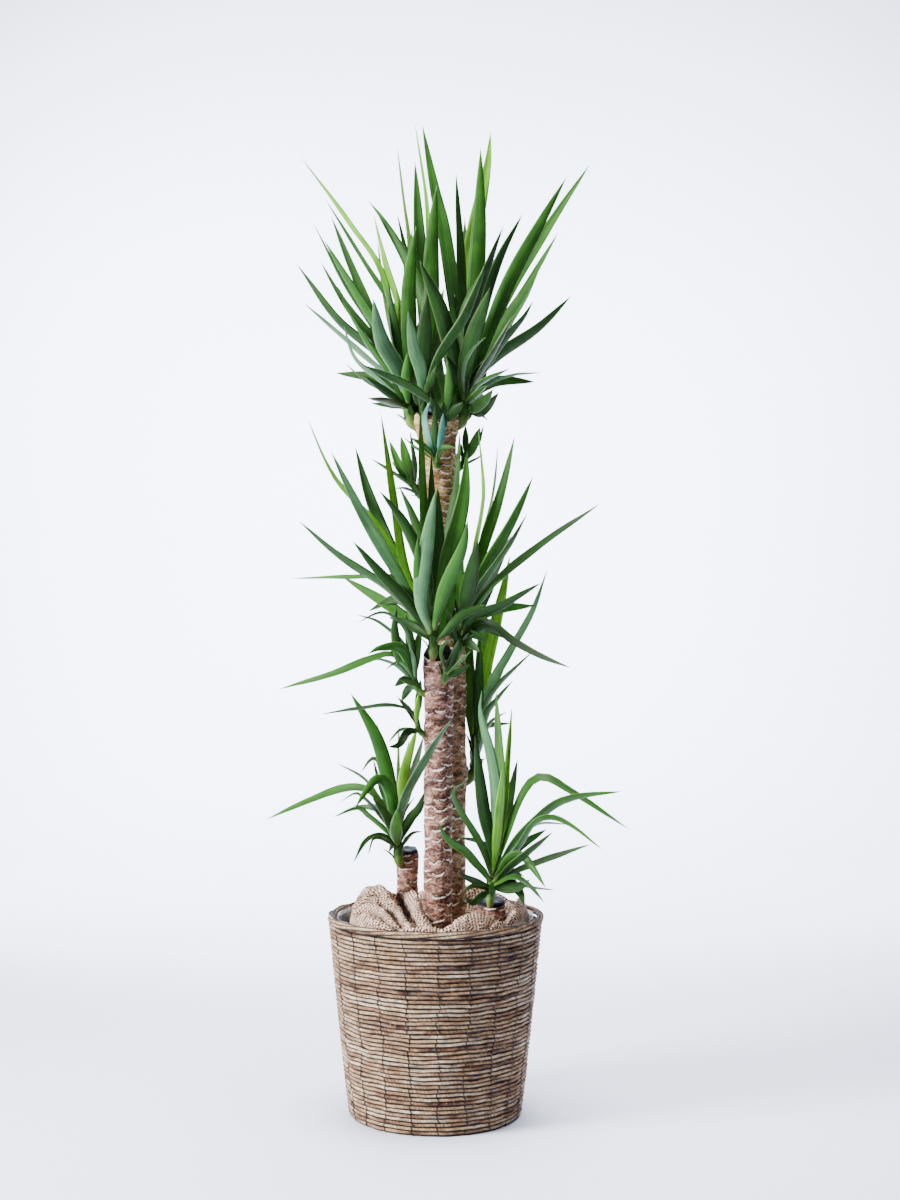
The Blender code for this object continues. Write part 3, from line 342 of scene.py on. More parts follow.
def wireTree():
    # a short bent wire over each row at each sewn column
    tree, make, given = newTree("Sewn wire columns", {
        "Int": "rows columns seed",
        "Float": "footRadius topRadius power lowest rise ropeRadius wireRadius frontColumn"})
    index = make("InputIndex")
    row = make("Math:FLOOR", make("/", index, given["columns"]))
    column = make("-", index, make("*", row, given["columns"]))
    share = make("/", row, make("-", given["rows"], 1.0))
    radius, height = rowPlace(make, given, share)
    spot = make("CombineXYZ", make("*", row, 0.12), make("*", column, 7.7), 0.0)
    wander = make("TexNoise", {"Vector": spot, "Scale": 1.0})
    jitter = make("RandomValue", {2: -0.02, 3: 0.012, "Seed": given["seed"]}, out=1)
    step = make("/", math.tau, given["columns"])
    straight = make("*+", column, step, given["frontColumn"])
    turn = make("+", make("*+", wander, 0.16, straight), jitter)
    place = make("CombineXYZ", make("*", radius, make("Math:COSINE", turn)),
                 make("*", radius, make("Math:SINE", turn)), height)
    count = make("*", given["rows"], given["columns"])
    points = make("Points", {"Count": count, "Position": place})
    loop = make("CurveArc", {
        "Resolution": sewing["bendPoints"], "Radius": given["ropeRadius"],
        "Start Angle": math.radians(-sewing["reach"]), "Sweep Angle": math.radians(2 * sewing["reach"])})
    upright = make("Transform", {"Geometry": loop, "Rotation": (math.radians(90), 0, 0)})
    wireRound = make("CurvePrimitiveCircle", {
        "Resolution": sewing["wireSides"], "Radius": given["wireRadius"]})
    wire = make("CurveToMesh", {"Curve": upright, "Profile Curve": wireRound, "Fill Caps": True})
    lean = make("RandomValue", {2: -0.05, 3: 1.0, "Seed": given["seed"]}, out=1)
    stitches = make("InstanceOnPoints", {
        "Points": points, "Instance": wire, "Rotation": make("CombineXYZ", lean, 0.0, turn)})
    real = make("RealizeInstances", stitches)
    make("NodeGroupOutput", real)
    return tree


def fibreTree():
    # loose fibres standing out of a surface, thinner towards their ends
    tree, make, given = newTree("Loose fibres", {
        "Object": "surface", "Float": "density length thickness lowest", "Int": "seed"})
    surface = make("GeometryNodeObjectInfo", given["surface"], out=4)
    height = make("SeparateXYZ", make("InputPosition"), out=2)
    above = make("Compare", {0: height, 1: given["lowest"]}, operation="GREATER_THAN")
    spots = make("DistributePointsOnFaces", {
        "Mesh": surface, "Selection": above, "Density": given["density"], "Seed": given["seed"]})
    found = spots.node.outputs
    bend = make("CurvePrimitiveBezierSegment", {
        "Resolution": 5, "Start": (0, 0, 0), "Start Handle": (0.0, 0.0, 0.35), "End Handle": (0.25, 0.1, 0.6),
        "End": (0.65, 0.25, 0.7)})
    thin = make("CurvePrimitiveCircle", {"Resolution": 3, "Radius": given["thickness"]})
    length = make("RandomValue", {2: 0.35, 3: 1.0, "Seed": given["seed"]}, out=1)
    long = make("*", length, given["length"])
    tilt = make("RandomValue", {0: (-1.2, -1.2, -3.1), 1: (1.2, 1.2, 3.1), "Seed": given["seed"]},
                data_type="FLOAT_VECTOR")
    turned = make("RotateRotation", {"Rotation": found[2], "Rotate By": tilt},
                  rotation_space="LOCAL")
    hairs = make("InstanceOnPoints", {
        "Points": found[0], "Instance": bend, "Rotation": turned,
        "Scale": make("CombineXYZ", long, long, long)})
    real = make("RealizeInstances", hairs)
    along = make("SplineParameter")
    slim = make("-", 1.0, make("*", along, 0.7))
    solid = make("CurveToMesh", {"Curve": real, "Profile Curve": thin, "Scale": slim,
                                             "Fill Caps": True})
    make("NodeGroupOutput", solid)
    return tree


def ropeMaterial():
    # Twisted strips of dried plant fibre: matte, streaked along the rope, with painted shade on each row's
    # lower side and where rows press together
    made, make, place = newMaterial("Twisted plant-fibre rope, dried", {
        "Roughness": 0.8, "Specular IOR Level": 0.25})
    row = make("Attribute", out=2, attribute_name="row")
    side = make("SeparateXYZ", make("Attribute", out=1, attribute_name="ropeSide")).node.outputs
    parts = make("SeparateXYZ", place).node.outputs
    turn = make("Math:ARCTAN2", parts[1], parts[0])
    outAmount = make("*+", side[0], make("Math:COSINE", turn),
                     make("*", side[1], make("Math:SINE", turn)))
    roundRope = make("Math:ARCTAN2", side[2], outAmount)
    # a few centimetres of each strip show before the next one starts
    own = make("*", row, 7.37)
    spot = make("CombineXYZ", make("*", parts[0], 11.0),
                make("*", parts[1], 11.0), own)
    streak = make("TexNoise", {"Vector": spot, "Scale": 1.0, "Detail": 4.0, "Roughness": 0.68})
    greySpot = make("CombineXYZ", make("*", parts[0], 30.0),
                    make("*", parts[1], 30.0), make("*", row, 5.9))
    grey = make("TexNoise", {"Vector": greySpot, "Scale": 1.0, "Detail": 2.0})
    fibreSpot = make("CombineXYZ", make("*", turn, 22.0), make("*", roundRope, 2.6),
                     make("*", row, 9.1))
    fibre = make("TexNoise", {"Vector": fibreSpot, "Scale": 1.0, "Detail": 5.0, "Roughness": 0.75})
    strip = make("ValToRGB", streak, stops=[
        (0.24, "#0a0706"), (0.28, "#3c261c"), (0.35, "#70523f"), (0.43, "#9b7a5e"), (0.53, "#c4a988"),
        (0.66, "#e6dac4")])
    faded = make("MapRange", grey, 0.58, 0.70, 0.0, 0.75)
    greyed = make("Mix", {"Factor": faded, 6: strip, 7: "#807d7c"}, **mixing)
    streaked = make("ValToRGB", fibre, stops=[(0.32, "#43301f"), (0.46, "#bfa78c"), (0.58, "#ffffff")])
    tinted = make("Mix", {"Factor": 0.8, 6: greyed, 7: streaked}, **mixing,
                  blend_type="MULTIPLY")
    # slanting marks of the twist, on some stretches only
    phase = make("*+", roundRope, 2.2, make("*", row, 2.3))
    twist = make("Math:SINE", make("*+", turn, basket["twists"], phase))
    tight = make("MapRange", grey, 0.40, 0.55, 0.75, 0.0)
    mark = make("*", make("MapRange", twist, -0.98, -0.6, 1.0, 0.0), tight)
    # painted shade: under darkens each row's lower side, over its top edge where the next row presses; the
    # twist marks are the rope's own
    under = make("MapRange", side[2], 0.05, -0.46, 0.0, 0.98)
    over = make("MapRange", side[2], 0.55, 0.84, 0.0, 0.95)
    dark = make("Math:MAXIMUM", make("Math:MAXIMUM", under, over), mark)
    final = make("Mix", {"Factor": dark, 6: tinted, 7: "#120905"}, **mixing)
    relief = make("*+", mark, -0.6, fibre)
    return feed(made, {"Base Color": final,
                "Normal": make("Bump", {"Height": relief, "Distance": 0.9 * mm, "Strength": 0.9})})


def wireMaterial():
    # Thin lacquered iron wire, dulled: nearly black brown
    made, make, place = newMaterial("Sewing wire, dark lacquered", {"Roughness": 0.55, "Metallic": 0.3})
    wear = make("TexNoise", {"Vector": place, "Scale": 260.0, "Detail": 2.0})
    return feed(made, {"Base Color": make("ValToRGB", wear, stops=[(0.35, "#0b0706"), (0.7, "#1e1410")])})


def fibreMaterial():
    # Dry bast hairs worked loose from rope and cloth: straw, browner here and there
    made, make, place = newMaterial("Loose bast fibre, dry", {"Roughness": 0.85, "Specular IOR Level": 0.2})
    patch = make("TexNoise", {"Vector": place, "Scale": 90.0, "Detail": 2.0})
    return feed(made, {"Base Color": make("ValToRGB", patch, stops=[
        (0.35, "#6d4c33"), (0.5, "#b3906a"), (0.65, "#d6c4a4")])})


def grown(name, tree, values, material, replaced=()):  # a piece made by a tree
    return newPiece(name, runTree(name, tree, values), material, replaced)


def makeFibres(name, surface, settings):
    area = sum(face.area for face in surface.data.polygons)
    values = dict(settings, surface=surface, density=settings["amount"] / area)
    grown(name, fibreTree(), values, fibreMaterial())


def makeBasket():
    rope = ropeMaterial()
    tree = ropeTree()
    rows = grown("basket_rope_rows", tree, wall, rope, ["basket"])
    grown("basket_base_coil", tree, baseCoil, rope)
    grown("basket_rim_rope", tree, rimRope, rope, ["basket_rim"])
    grown("basket_sewing_wire", wireTree(), sewing, wireMaterial())
    makeFibres("basket_loose_fibres", rows, ropeFibres)


makeBasket()
print("basket ready")


# The plant's places, as in the part's source: seen from the eye at a depth, in centimetres

eye = dict(x=2.5, z=86.9, distance=298.7)

canes = {
    "tall": dict(
        axis=[(1.9, 4.0), (1.95, 36.0), (2.05, 60.0), (1.95, 77.0), (1.3, 91.0), (0.6, 104.0), (0.15, 119.0)],
        depth=3.0, radius=3.15, slope=0.3, knots=[(58.0, 0.25), (109.0, 0.2), (117.5, 1.0)],
        pitch=[(30, 1.9), (75, 1.8), (92, 1.4), (119, 1.2)], seed=11, golden=(92.0, 108.0), tan=0.4),
    "medium": dict(
        axis=[(0.3, 8.0), (0.35, 33.0), (0.45, 52.0), (0.55, 70.0), (0.5, 77.8)],
        depth=-4.0, radius=2.35, slope=0.5, knots=[(64.5, 0.2), (75.5, 0.25)],
        pitch=[(30, 1.9), (78, 1.6)], seed=23, golden=(200.0, 201.0), tan=0.0),
    "short_left": dict(
        axis=[(-4.9, 9.0), (-4.8, 30.0), (-4.76, 44.2)],
        depth=6.0, radius=1.75, slope=0.2, knots=[(42.0, 0.15)],
        pitch=[(30, 1.5), (45, 1.3)], seed=37, golden=(200.0, 201.0), tan=0.0),
    "short_right": dict(
        axis=[(9.3, 12.0), (9.35, 25.0), (9.4, 35.5)],
        depth=-4.0, radius=2.35, slope=0.25, knots=[(33.0, 0.1)],
        pitch=[(30, 1.5), (36, 1.4)], seed=41, golden=(200.0, 201.0), tan=0.0),
}

shoots = {  # leaves: seen width, depth of the tip from the stem, seen places; a tone letter each
    "top_left": dict(radius=1.15, tones="ymmmmyyydmdmssmsdmsddmmmdmdmdddddd", stem=[
        (-1.6, 115.4, 2.8), (-4.2, 117.4, 2.3), (-4.5, 124, 2)], leaves=[
        (1, -3, (-9.1, 142.3), (-14.5, 150.8), (-23, 162.4)),
        (1, 5, (-6.2, 134.3), (-11.8, 143.8), (-18.8, 155.2)),
        (0.8, 3, (-11, 133.6), (-15, 139.7), (-20.8, 151.1)),
        (1.7, -6, (-8.6, 131), (-14.2, 140.1), (-19, 148.2)),
        (1.7, 8, (-10.8, 135.2), (-14.9, 145), (-17.8, 152.3)),
        (1.2, -4, (-6.4, 137), (-8.6, 144.3), (-10.5, 152.5)), (0.7, 7, (-8.6, 139.2), (-9.9, 148.2)),
        (0.7, 4, (-4.5, 146.9), (-5.4, 154.7), (-6.5, 164.1)), (1.4, 1, (-4.9, 144), (-6.5, 152.7)),
        (2.7, -8, (-4.5, 132.8), (-4.5, 140.8), (-3.3, 150.6)),
        (1.5, -2, (-9.1, 128), (-16.4, 134.3), (-23.7, 144.2)),
        (1.4, 5, (-10.1, 130.7), (-15.2, 137), (-19.6, 144.5)), (1, 9, (-11.7, 131), (-16.7, 140.4)),
        (1, 1, (-7.2, 123.9), (-13.3, 129.4), (-22.5, 137.5)), (1, -8, (-11.2, 129.9), (-15.9, 137.9)),
        (2.8, -13, (-6.5, 126.3), (-9.1, 130.9), (-10.6, 138.2)), (1.4, -10, (-8.1, 122.1), (-12.2, 125.1)),
        (0.6, 10, (-11.8, 124.1), (-15.4, 127.2)), (0.8, -6, (-9.9, 124.6), (-13.7, 128), (-15.6, 133.6)),
        (1.2, -14, (-9.1, 120.9), (-11.6, 121.2)), (0.9, 9, (-8.2, 120), (-11.1, 120.4)),
        (1.7, -9, (-5, 123.8), (-4.8, 129)), (2.2, 16, (-6.5, 131), (-9.5, 143)),
        (2, 20, (-9, 128), (-14, 135)), (2.2, 14, (-4.8, 134), (-4, 150)), (2, 17, (-5, 128), (-3.5, 137)),
        (2, 19, (-10, 124.5), (-17, 125.5)), (2, 15, (-6.5, 122.8), (-8.5, 122)),
        (1.5, 5, (-3.6, 129), (-2.8, 134.5)), (1.6, -4, (-6.6, 131.5), (-8, 140.5)),
        (2, 6, (-2.8, 124.5), (-1.4, 130.5)), (1.8, -3, (-5.8, 121.5), (-7.4, 126.5)),
        (1.7, 1, (-2.9, 119.6), (-2.5, 123.8), (-2.3, 128)), (1.5, -1, (-3.4, 121), (-3.2, 126)),
    ]),
    "top_middle": dict(radius=0.75, tones="mymmsmdddddddddd", stem=[
        (-1.5, 116.2, 1.2), (-2.1, 118.6, -1.2), (-2, 124, -1.4)], leaves=[
        (2.4, 3, (-1.8, 132.8), (-2.8, 150.1), (-3.5, 161.7)),
        (0.9, 6, (-1.3, 138), (-1.3, 152.8), (-3.5, 168)),
        (2.9, -3, (-0.9, 136.2), (-0.6, 148.2), (0.2, 157.6)),
        (2, 0, (-1.8, 136.2), (-5, 144.7), (-9.1, 151.8), (-11.5, 154.9)),
        (2.2, -10, (-2.6, 126.3), (-3.5, 129), (-4.7, 136)),
        (1.7, -9, (0.6, 128.2), (4.7, 134.6), (8.2, 143), (8.4, 144.7)),
        (2.6, -7, (-2, 128.2), (-1.4, 139.2)), (2.2, 12, (-1.5, 135), (-0.5, 148)),
        (2.2, 15, (-1, 130), (1.5, 140)), (1.8, 3, (-0.4, 128.5), (1.6, 135)),
        (1.6, 6, (-0.2, 125.5), (1.4, 129.5)), (1.4, -5, (-0.9, 123.8), (0.3, 127)),
        (1.7, 5, (-2.7, 123.5), (-3.4, 127.5)), (1.7, 2, (-0.9, 119.8), (-0.5, 123.4), (-0.2, 127.5)),
        (1.6, 3, (-2.9, 120.2), (-3.4, 125.5)), (1.6, -1, (-1.4, 121.5), (-1, 127)),
    ]),
    "top_right": dict(radius=1.2, tones="mddmyddmmmmdddmsmddmdmddmdmddddddddddd", stem=[
        (1.8, 115.4, 2.8), (4.6, 117.6, 2.3), (4.8, 124, 2)], leaves=[
        (2.5, 7, (3.5, 135.3), (1.4, 150.1), (-0.1, 156.6), (-2.3, 168)),
        (2.9, -11, (2.5, 130.7), (0.4, 137.4), (-2.8, 144.7)), (1.7, 1, (4.5, 139.7), (3.5, 159.6)),
        (2.9, -3, (6.4, 134.5), (7.4, 150.1), (7.7, 163.9)),
        (3, 8, (5.9, 144.7), (8.9, 161.2), (9.4, 166.8)),
        (1.7, -9, (5.9, 134.5), (9.6, 145.5), (11.6, 150.6)),
        (1.9, -5, (7.2, 132.8), (10.5, 144), (14.9, 152.7)),
        (2.5, -3, (6.7, 126), (12.2, 140.3), (18.3, 151.8), (22.4, 159)),
        (2, 4, (11.3, 136.9), (18.4, 149.1), (26.4, 161.2)),
        (1.5, 9, (10.6, 132.6), (14.9, 139.2), (21, 149.6)), (0.8, 13, (15.2, 137.9), (18.6, 145.7)),
        (1.5, -8, (7.6, 125.1), (11.3, 130.7), (15, 135), (16.7, 137.9)),
        (1, -12, (10.1, 129.4), (13, 134.8)),
        (1.9, -2, (5.9, 123.4), (10.3, 128.2), (17.6, 133.3), (23.2, 138.7)),
        (0.9, -10, (7.7, 123.8), (12.7, 126.3)), (0.6, 6, (9.1, 123.6), (13, 125.1), (18.1, 125.6)),
        (1.2, -11, (7.2, 122.1), (8.8, 123.6)), (2, -14, (6.5, 119.5), (8.4, 120.9), (9.8, 122.7)),
        (1.7, 10, (7.7, 118.8), (10.8, 122.2)), (0.5, -5, (7.6, 118.4), (8.9, 117.5)),
        (3, -13, (4.8, 124), (6, 130.1), (8.4, 137.5), (9.3, 140.1)),
        (0.6, -15, (5, 126.5), (6.5, 129.7), (8.9, 131.9)), (1.5, -6, (4.6, 135), (7.9, 143)),
        (2.2, 16, (7, 132), (10, 146)), (2, 20, (9.5, 129), (15, 138)), (2.2, 15, (5, 134), (5, 152)),
        (2, 18, (6, 128), (6.5, 138)), (2, 19, (10, 124), (17, 124)), (2, 16, (7, 121.5), (9, 120.5)),
        (1.8, 1, (3.6, 127.5), (1.4, 134.5)), (1.7, -4, (3.6, 124.4), (1.8, 128.5)),
        (1.6, 8, (3.8, 123.8), (2.4, 126.5)), (1.8, 3, (5, 131), (3.2, 139)),
        (2.2, 10, (3.2, 125), (1.2, 132)), (1.6, 4, (6.4, 121), (8.8, 126)),
        (1.7, 0, (3.4, 119.8), (3, 123.4), (2.6, 127.6)), (1.6, 2, (2.4, 120.5), (1.6, 125.5)),
        (1.5, -1, (3.9, 122), (3.6, 127)),
    ]),
    "top_front": dict(radius=0.7, tones="mdddddddd", stem=[
        (1.3, 115.8, 1.2), (1.4, 117.2, -1.1), (1.4, 119.6, -1.5)], leaves=[
        (1.5, -5, (2.1, 120.9), (2.3, 124.6), (2, 127.7)),
        (1.5, -9, (-1.8, 121.4), (-4.8, 123.4), (-12.7, 127)), (1.9, 4, (0.9, 123), (0.2, 128.5), (0, 134)),
        (1.6, 1, (0.2, 122), (-0.6, 127)), (1.8, 4, (1.8, 121.5), (2.8, 127)),
        (1.8, -3, (2.8, 118.6), (4.8, 120.6)), (1.6, -4, (0.4, 118.6), (-0.9, 121.6)),
        (1.5, 2, (2.5, 119.2), (3.1, 122.6), (3.4, 126)), (1.3, 1, (0.4, 119.4), (-0.3, 122.6)),
    ]),
    "upper_front": dict(radius=0.6, tones="bbdmmm", stem=[
        (0.3, 108.8, 1), (0.2, 110.4, -1), (0.1, 112.2, -1.5)], leaves=[
        (1.2, -3, (-0.9, 113.2), (-1.8, 118.2), (-0.8, 120.9)), (1.2, -5, (0.9, 113.9), (1.3, 118.7)),
        (1.2, -4, (-0.1, 113.5), (-0.1, 120)), (1, -3, (-1.8, 112.9), (-4.3, 114.6)),
        (0.9, -7, (1.1, 112.6), (3.3, 113)), (0.5, -3, (-3.5, 112.9), (-5.4, 114.7)),
    ]),
    "upper_left": dict(radius=0.7, tones="mmdddd", stem=[
        (-0.8, 103.4, 4.6), (-3, 105, 5.4), (-3.7, 107, 5.6)], leaves=[
        (1.4, 2, (-5.5, 108.3), (-7.9, 114.1)), (1.9, 5, (-4.3, 108), (-5.9, 114.8)),
        (0.9, 8, (-3.5, 109.5), (-4.3, 115.6)), (0.7, 0, (-5.2, 107.1), (-11, 111)),
        (0.5, -4, (-5.2, 105.9), (-6.9, 105.9)), (1.2, 9, (-5.2, 108), (-7.5, 110.5)),
    ]),
    "upper_right": dict(radius=0.7, tones="mmdmm", stem=[
        (2.2, 108.4, 4), (4.5, 109.8, 4.4), (5, 111.8, 4.6)], leaves=[
        (1.7, -3, (6.2, 112.6), (7.6, 116.3)), (0.7, 3, (7.2, 113.5), (8.2, 116.6)),
        (0.5, -4, (6.9, 110.9), (8.2, 111.7)), (1.2, 0, (5.1, 114.1), (5.1, 116.6)),
        (1.2, 7, (6, 112.5), (7, 115)),
    ]),
    "middle_left": dict(radius=0.85, tones="ysdydddmsmmddmmmddmddmddmd", stem=[
        (-0.3, 75.4, -5), (-0.4, 77.4, -6.2), (-0.6, 84.5, -6.9)], leaves=[
        (0.9, 8, (-9, 98.5), (-17.1, 107.6), (-21.8, 117.8)),
        (2, 2, (-6, 90.6), (-12.2, 101), (-17.9, 112.4)),
        (2.4, 9, (-6.4, 92.8), (-11.1, 104.2), (-13.7, 113.1)),
        (1.5, 4, (-5.4, 93.2), (-7.1, 103.7), (-9.3, 118.8)),
        (2.2, -5, (-1.8, 92), (-5.4, 100.1), (-9.6, 105.6)),
        (1.9, -4, (-5, 86.9), (-9.4, 91.5), (-14.2, 97.1)),
        (1.4, -1, (-7.9, 88.7), (-16.4, 94.4), (-23.4, 100.5)),
        (0.9, 3, (-3.5, 87.7), (-5.7, 89.9), (-7.7, 90.8), (-14.7, 90.8), (-24.6, 90.6)),
        (2.7, -8, (-2.5, 86.9), (-1.1, 98.8), (0.1, 105.7)), (1.9, -6, (-2.8, 90.3), (-3, 97.9)),
        (1.5, 1, (-1.8, 97.1), (-2.5, 114.4), (-2.6, 119.9)), (2, 2, (0.6, 93.7), (0.4, 106.3)),
        (1.7, 1, (-0.7, 98), (-0.7, 112)), (2.9, 2, (2, 93.2), (4.7, 103.9), (5.4, 112.4)),
        (1.5, 4, (2.2, 98), (3.5, 105.6), (4.2, 115.9)), (2.4, -9, (1.6, 88.6), (4.7, 96.1), (5.5, 100.5)),
        (1.9, -2, (-2.3, 96.2), (-4, 101.5), (-6.2, 106.3)), (2, 14, (-6, 90), (-10.5, 100)),
        (2, 17, (-8, 86), (-16, 91)), (2, 12, (-6, 87), (-11.5, 85)), (1.7, 2, (0.9, 89.5), (2.4, 97)),
        (1.8, 1, (1.3, 82.5), (2.5, 87), (3.2, 93)), (1.6, -2, (1.6, 81.2), (4.6, 84.4), (9, 86.2)),
        (2, 10, (-3.8, 88), (-6.4, 94)), (1.8, 6, (-3.6, 84.6), (-6.9, 88.6)),
        (1.6, 3, (-4.2, 82.6), (-8, 84)),
    ]),
    "middle_right": dict(radius=0.85, tones="dyymmdddmdddmdddmdmdd", stem=[
        (1.6, 75, -3.7), (3.7, 77.4, -3.3), (4.3, 84.5, -3.2)], leaves=[
        (2.7, -9, (5.7, 89.3), (7.2, 97.2)), (0.7, 3, (6.9, 96.4), (8.2, 103.9), (8.2, 106.8), (7.2, 116.3)),
        (0.7, 10, (7.9, 97.1), (9.9, 105.4), (10.6, 113.4)),
        (1.9, 3, (7.9, 95), (11.3, 105.7), (13.5, 114.9)),
        (1.9, -2, (7.6, 90.6), (13.2, 100.5), (16.7, 108.1)),
        (1.2, -7, (6.9, 87.9), (12.5, 96.1), (15.7, 101.8)),
        (1.4, 2, (8.4, 88.1), (16.4, 95.2), (28.3, 103.5)), (0.6, 13, (7, 92), (9.1, 98.6)),
        (0.6, -4, (9.5, 88.8), (13, 91.8)), (1.5, -5, (5.7, 83.6), (10.5, 85.6), (18.1, 89.9)),
        (1.4, -3, (8.2, 83.4), (12.8, 80.2), (17.8, 77.4), (23.2, 75.3)), (2, 14, (8.5, 89), (13, 98)),
        (2, 8, (9, 85), (17, 86)), (2, 10, (8, 82.5), (13, 80)), (1.8, 2, (3.4, 90), (1.8, 98.5)),
        (1.7, 0, (2.8, 84), (1.2, 89)), (1.8, 1, (4, 90.5), (4, 100)), (1.8, 6, (6.9, 84.8), (10.5, 90.5)),
        (1.6, 4, (5.8, 81.2), (8.8, 79.8)), (1.5, -4, (5.6, 79.6), (7.6, 78)),
        (1.4, -4, (3, 81.4), (1.9, 85.4)),
    ]),
    "middle_front": dict(radius=0.65, tones="dmmdd", stem=[
        (1.3, 72.4, -5.4), (1.7, 74, -7.2), (1.8, 75.8, -7.6)], leaves=[
        (1.4, -3, (3, 76.9), (4, 80.1)), (0.5, -2, (1, 77.2), (0.9, 79.9)),
        (0.5, -5, (4.2, 76.4), (6.2, 78.4)), (1.2, -1, (4, 74.8), (5.9, 76)),
        (0.7, -6, (0.9, 78), (2, 79.9), (3.5, 80.2)),
    ]),
    "side_upper": dict(radius=0.65, tones="dddmmsmmsdddmddd", stem=[
        (-0.8, 70.2, -4.5), (-3, 71.8, -5.1), (-3.8, 74.8, -5.2)], leaves=[
        (1.7, -3, (-5.7, 75.9), (-6.9, 81.4), (-6.7, 85.9)),
        (0.7, -1, (-4.8, 78.4), (-9.4, 83), (-13.5, 84.5)),
        (0.7, -6, (-5, 81.6), (-7.9, 84.5), (-9.8, 84.7), (-13.3, 83)),
        (1.7, -8, (-6, 78.7), (-9.6, 78.7), (-11.5, 77.7)),
        (1.2, -2, (-6.9, 77.5), (-11.3, 76.8), (-16.7, 74.6), (-26.8, 71.7)),
        (0.7, -9, (-6.5, 75.6), (-9.4, 76.8), (-11, 76.5)), (0.6, -11, (-6, 76.4), (-8.6, 75.1)),
        (1.2, -6, (-5, 73.3), (-6.4, 73.6)), (0.9, -5, (-3.8, 76.9), (-4.5, 79.6)),
        (1.2, -1, (-3.7, 76.6), (-4.3, 79.6)), (1, 6, (-4.8, 77), (-7.5, 80)),
        (1.7, 2, (-4.2, 79), (-5, 84.5)), (1.6, 3, (-5.4, 75.8), (-7.8, 79)),
        (1.5, 2, (-5, 73.4), (-7, 72.2)), (1.4, 4, (-4.4, 72), (-5.8, 69.6)),
        (1.6, 5, (-3.2, 78.5), (-2.4, 82.5)),
    ]),
    "side_lower": dict(radius=0.6, tones="dddydd", stem=[
        (-0.8, 63.2, -4.4), (-2.8, 64.8, -4.9), (-3.2, 67, -5)], leaves=[
        (0.7, 0, (-4.2, 68), (-7.4, 69), (-12.8, 68.5), (-19.5, 67.5)),
        (0.5, -4, (-5.9, 64.8), (-8.1, 62.6)), (1.4, -6, (-4.8, 64.4), (-6.2, 62.3), (-8.1, 61.9)),
        (1, -3, (-3.1, 68.4), (-2.9, 71)), (1, 5, (-4.4, 68), (-6.5, 70.5)),
        (1.3, 3, (-2.9, 69.5), (-2.5, 73.5)),
    ]),
    "behind": dict(radius=0.85, tones="ysmmmmmddmmd", stem=[
        (3.6, 54.6, 4.4), (6.3, 57.2, 5.2), (6.8, 63, 5.5)], leaves=[
        (2.4, 3, (6.9, 68.7), (8.8, 77), (11.6, 88.9), (12.7, 94.7)),
        (1.5, 6, (9.1, 71.6), (12.3, 77.5), (16.4, 84.8), (19.1, 92.3)),
        (2.2, 2, (5.9, 67.5), (5.6, 77), (5.5, 86)), (1.9, -3, (7.2, 68.5), (7.6, 80.5)),
        (0.9, -5, (8.6, 69), (11.1, 72.9), (14, 75.8), (16.9, 78.5)),
        (1.2, -9, (8.8, 67.7), (10.3, 69.9), (13.3, 73.4)), (0.9, -11, (9.1, 65.8), (12.2, 68)),
        (1.6, 10, (8.5, 69), (12, 76)), (1.4, 12, (8, 65), (13, 66)),
        (2.4, 7, (7.6, 70), (8, 80), (8.4, 88)), (2.2, 10, (7.8, 70.5), (9.6, 80), (10.8, 87)),
        (1.5, 2, (7.4, 60), (6.6, 56)),
    ]),
    "low_left": dict(radius=0.95, tones="mmmdmsdmdsmdyydsmddmdddd", stem=[
        (-5.1, 41.2, 5.3), (-6.25, 42.7, 3.55), (-6.35, 48.8, 3.4)], leaves=[
        (2.5, -3, (-7.1, 52.5), (-9.9, 63.2), (-14.5, 71.2)),
        (2, -10, (-7.3, 52), (-7.9, 54.7), (-9.4, 56.6), (-10.8, 55.8), (-13.7, 51.5)),
        (1.4, 1, (-10.3, 53.7), (-14.2, 55.1), (-21, 53), (-29, 49.5)), (0.7, 6, (-13, 53.9), (-16.1, 52.7)),
        (0.6, 3, (-11.5, 55.9), (-16.9, 59.3)), (1, 5, (-9.6, 56), (-10.6, 60)),
        (1.2, 9, (-9, 57), (-10.3, 60), (-12.8, 57.5)),
        (1, -6, (-8.2, 47.4), (-11.5, 50.3), (-13.2, 51.5), (-17.4, 50)),
        (1.7, -12, (-8.2, 50), (-10.8, 53.4)), (0.8, 8, (-9, 51), (-11.5, 52.7)),
        (0.9, -5, (-8.8, 46.8), (-11.6, 46.2), (-14, 42.2)), (0.5, -9, (-10.3, 46.4), (-11.5, 43.5)),
        (0.6, 2, (-6.4, 57), (-6.2, 65.8)), (1.8, 0, (-5.4, 57), (-3, 65.6)),
        (1.4, 2, (-4.1, 56.4), (-1.9, 64.1)), (1.5, -18, (-5.4, 52.6), (-2.8, 57.8), (-0.6, 61.7), (3, 67)),
        (0.5, -4, (-5.2, 50.8), (-3.5, 53.6)), (1.7, -4.7, (-4.2, 49.9), (-2.8, 51.5), (-1.6, 54.7)),
        (0.7, -3, (-4, 47.2), (-2.2, 47.6)), (2.2, -15, (-6.7, 47.8), (-6.5, 51.5)),
        (1.8, 10, (-8, 57), (-10, 66)), (1.6, 12, (-9, 51), (-14, 52)), (1.6, 10, (-5.5, 56), (-4.5, 63)),
        (1.5, 9, (-6.4, 46.9), (-8, 43.9)),
    ]),
    "low_right": dict(radius=0.8, tones="dsyymmmmsdmmmsddmmdmdddddd", stem=[
        (9.2, 33.6, -5.4), (9.3, 35.4, -6.2), (9.9, 41.5, -6.8)], leaves=[
        (2.2, -4, (9.3, 45.9), (8.2, 51.2), (6.7, 63.9)),
        (2, -6, (10.3, 53.2), (9.4, 60.4), (7.6, 68), (7.9, 71.6)), (1.5, -9, (10.5, 47.3), (11.3, 58)),
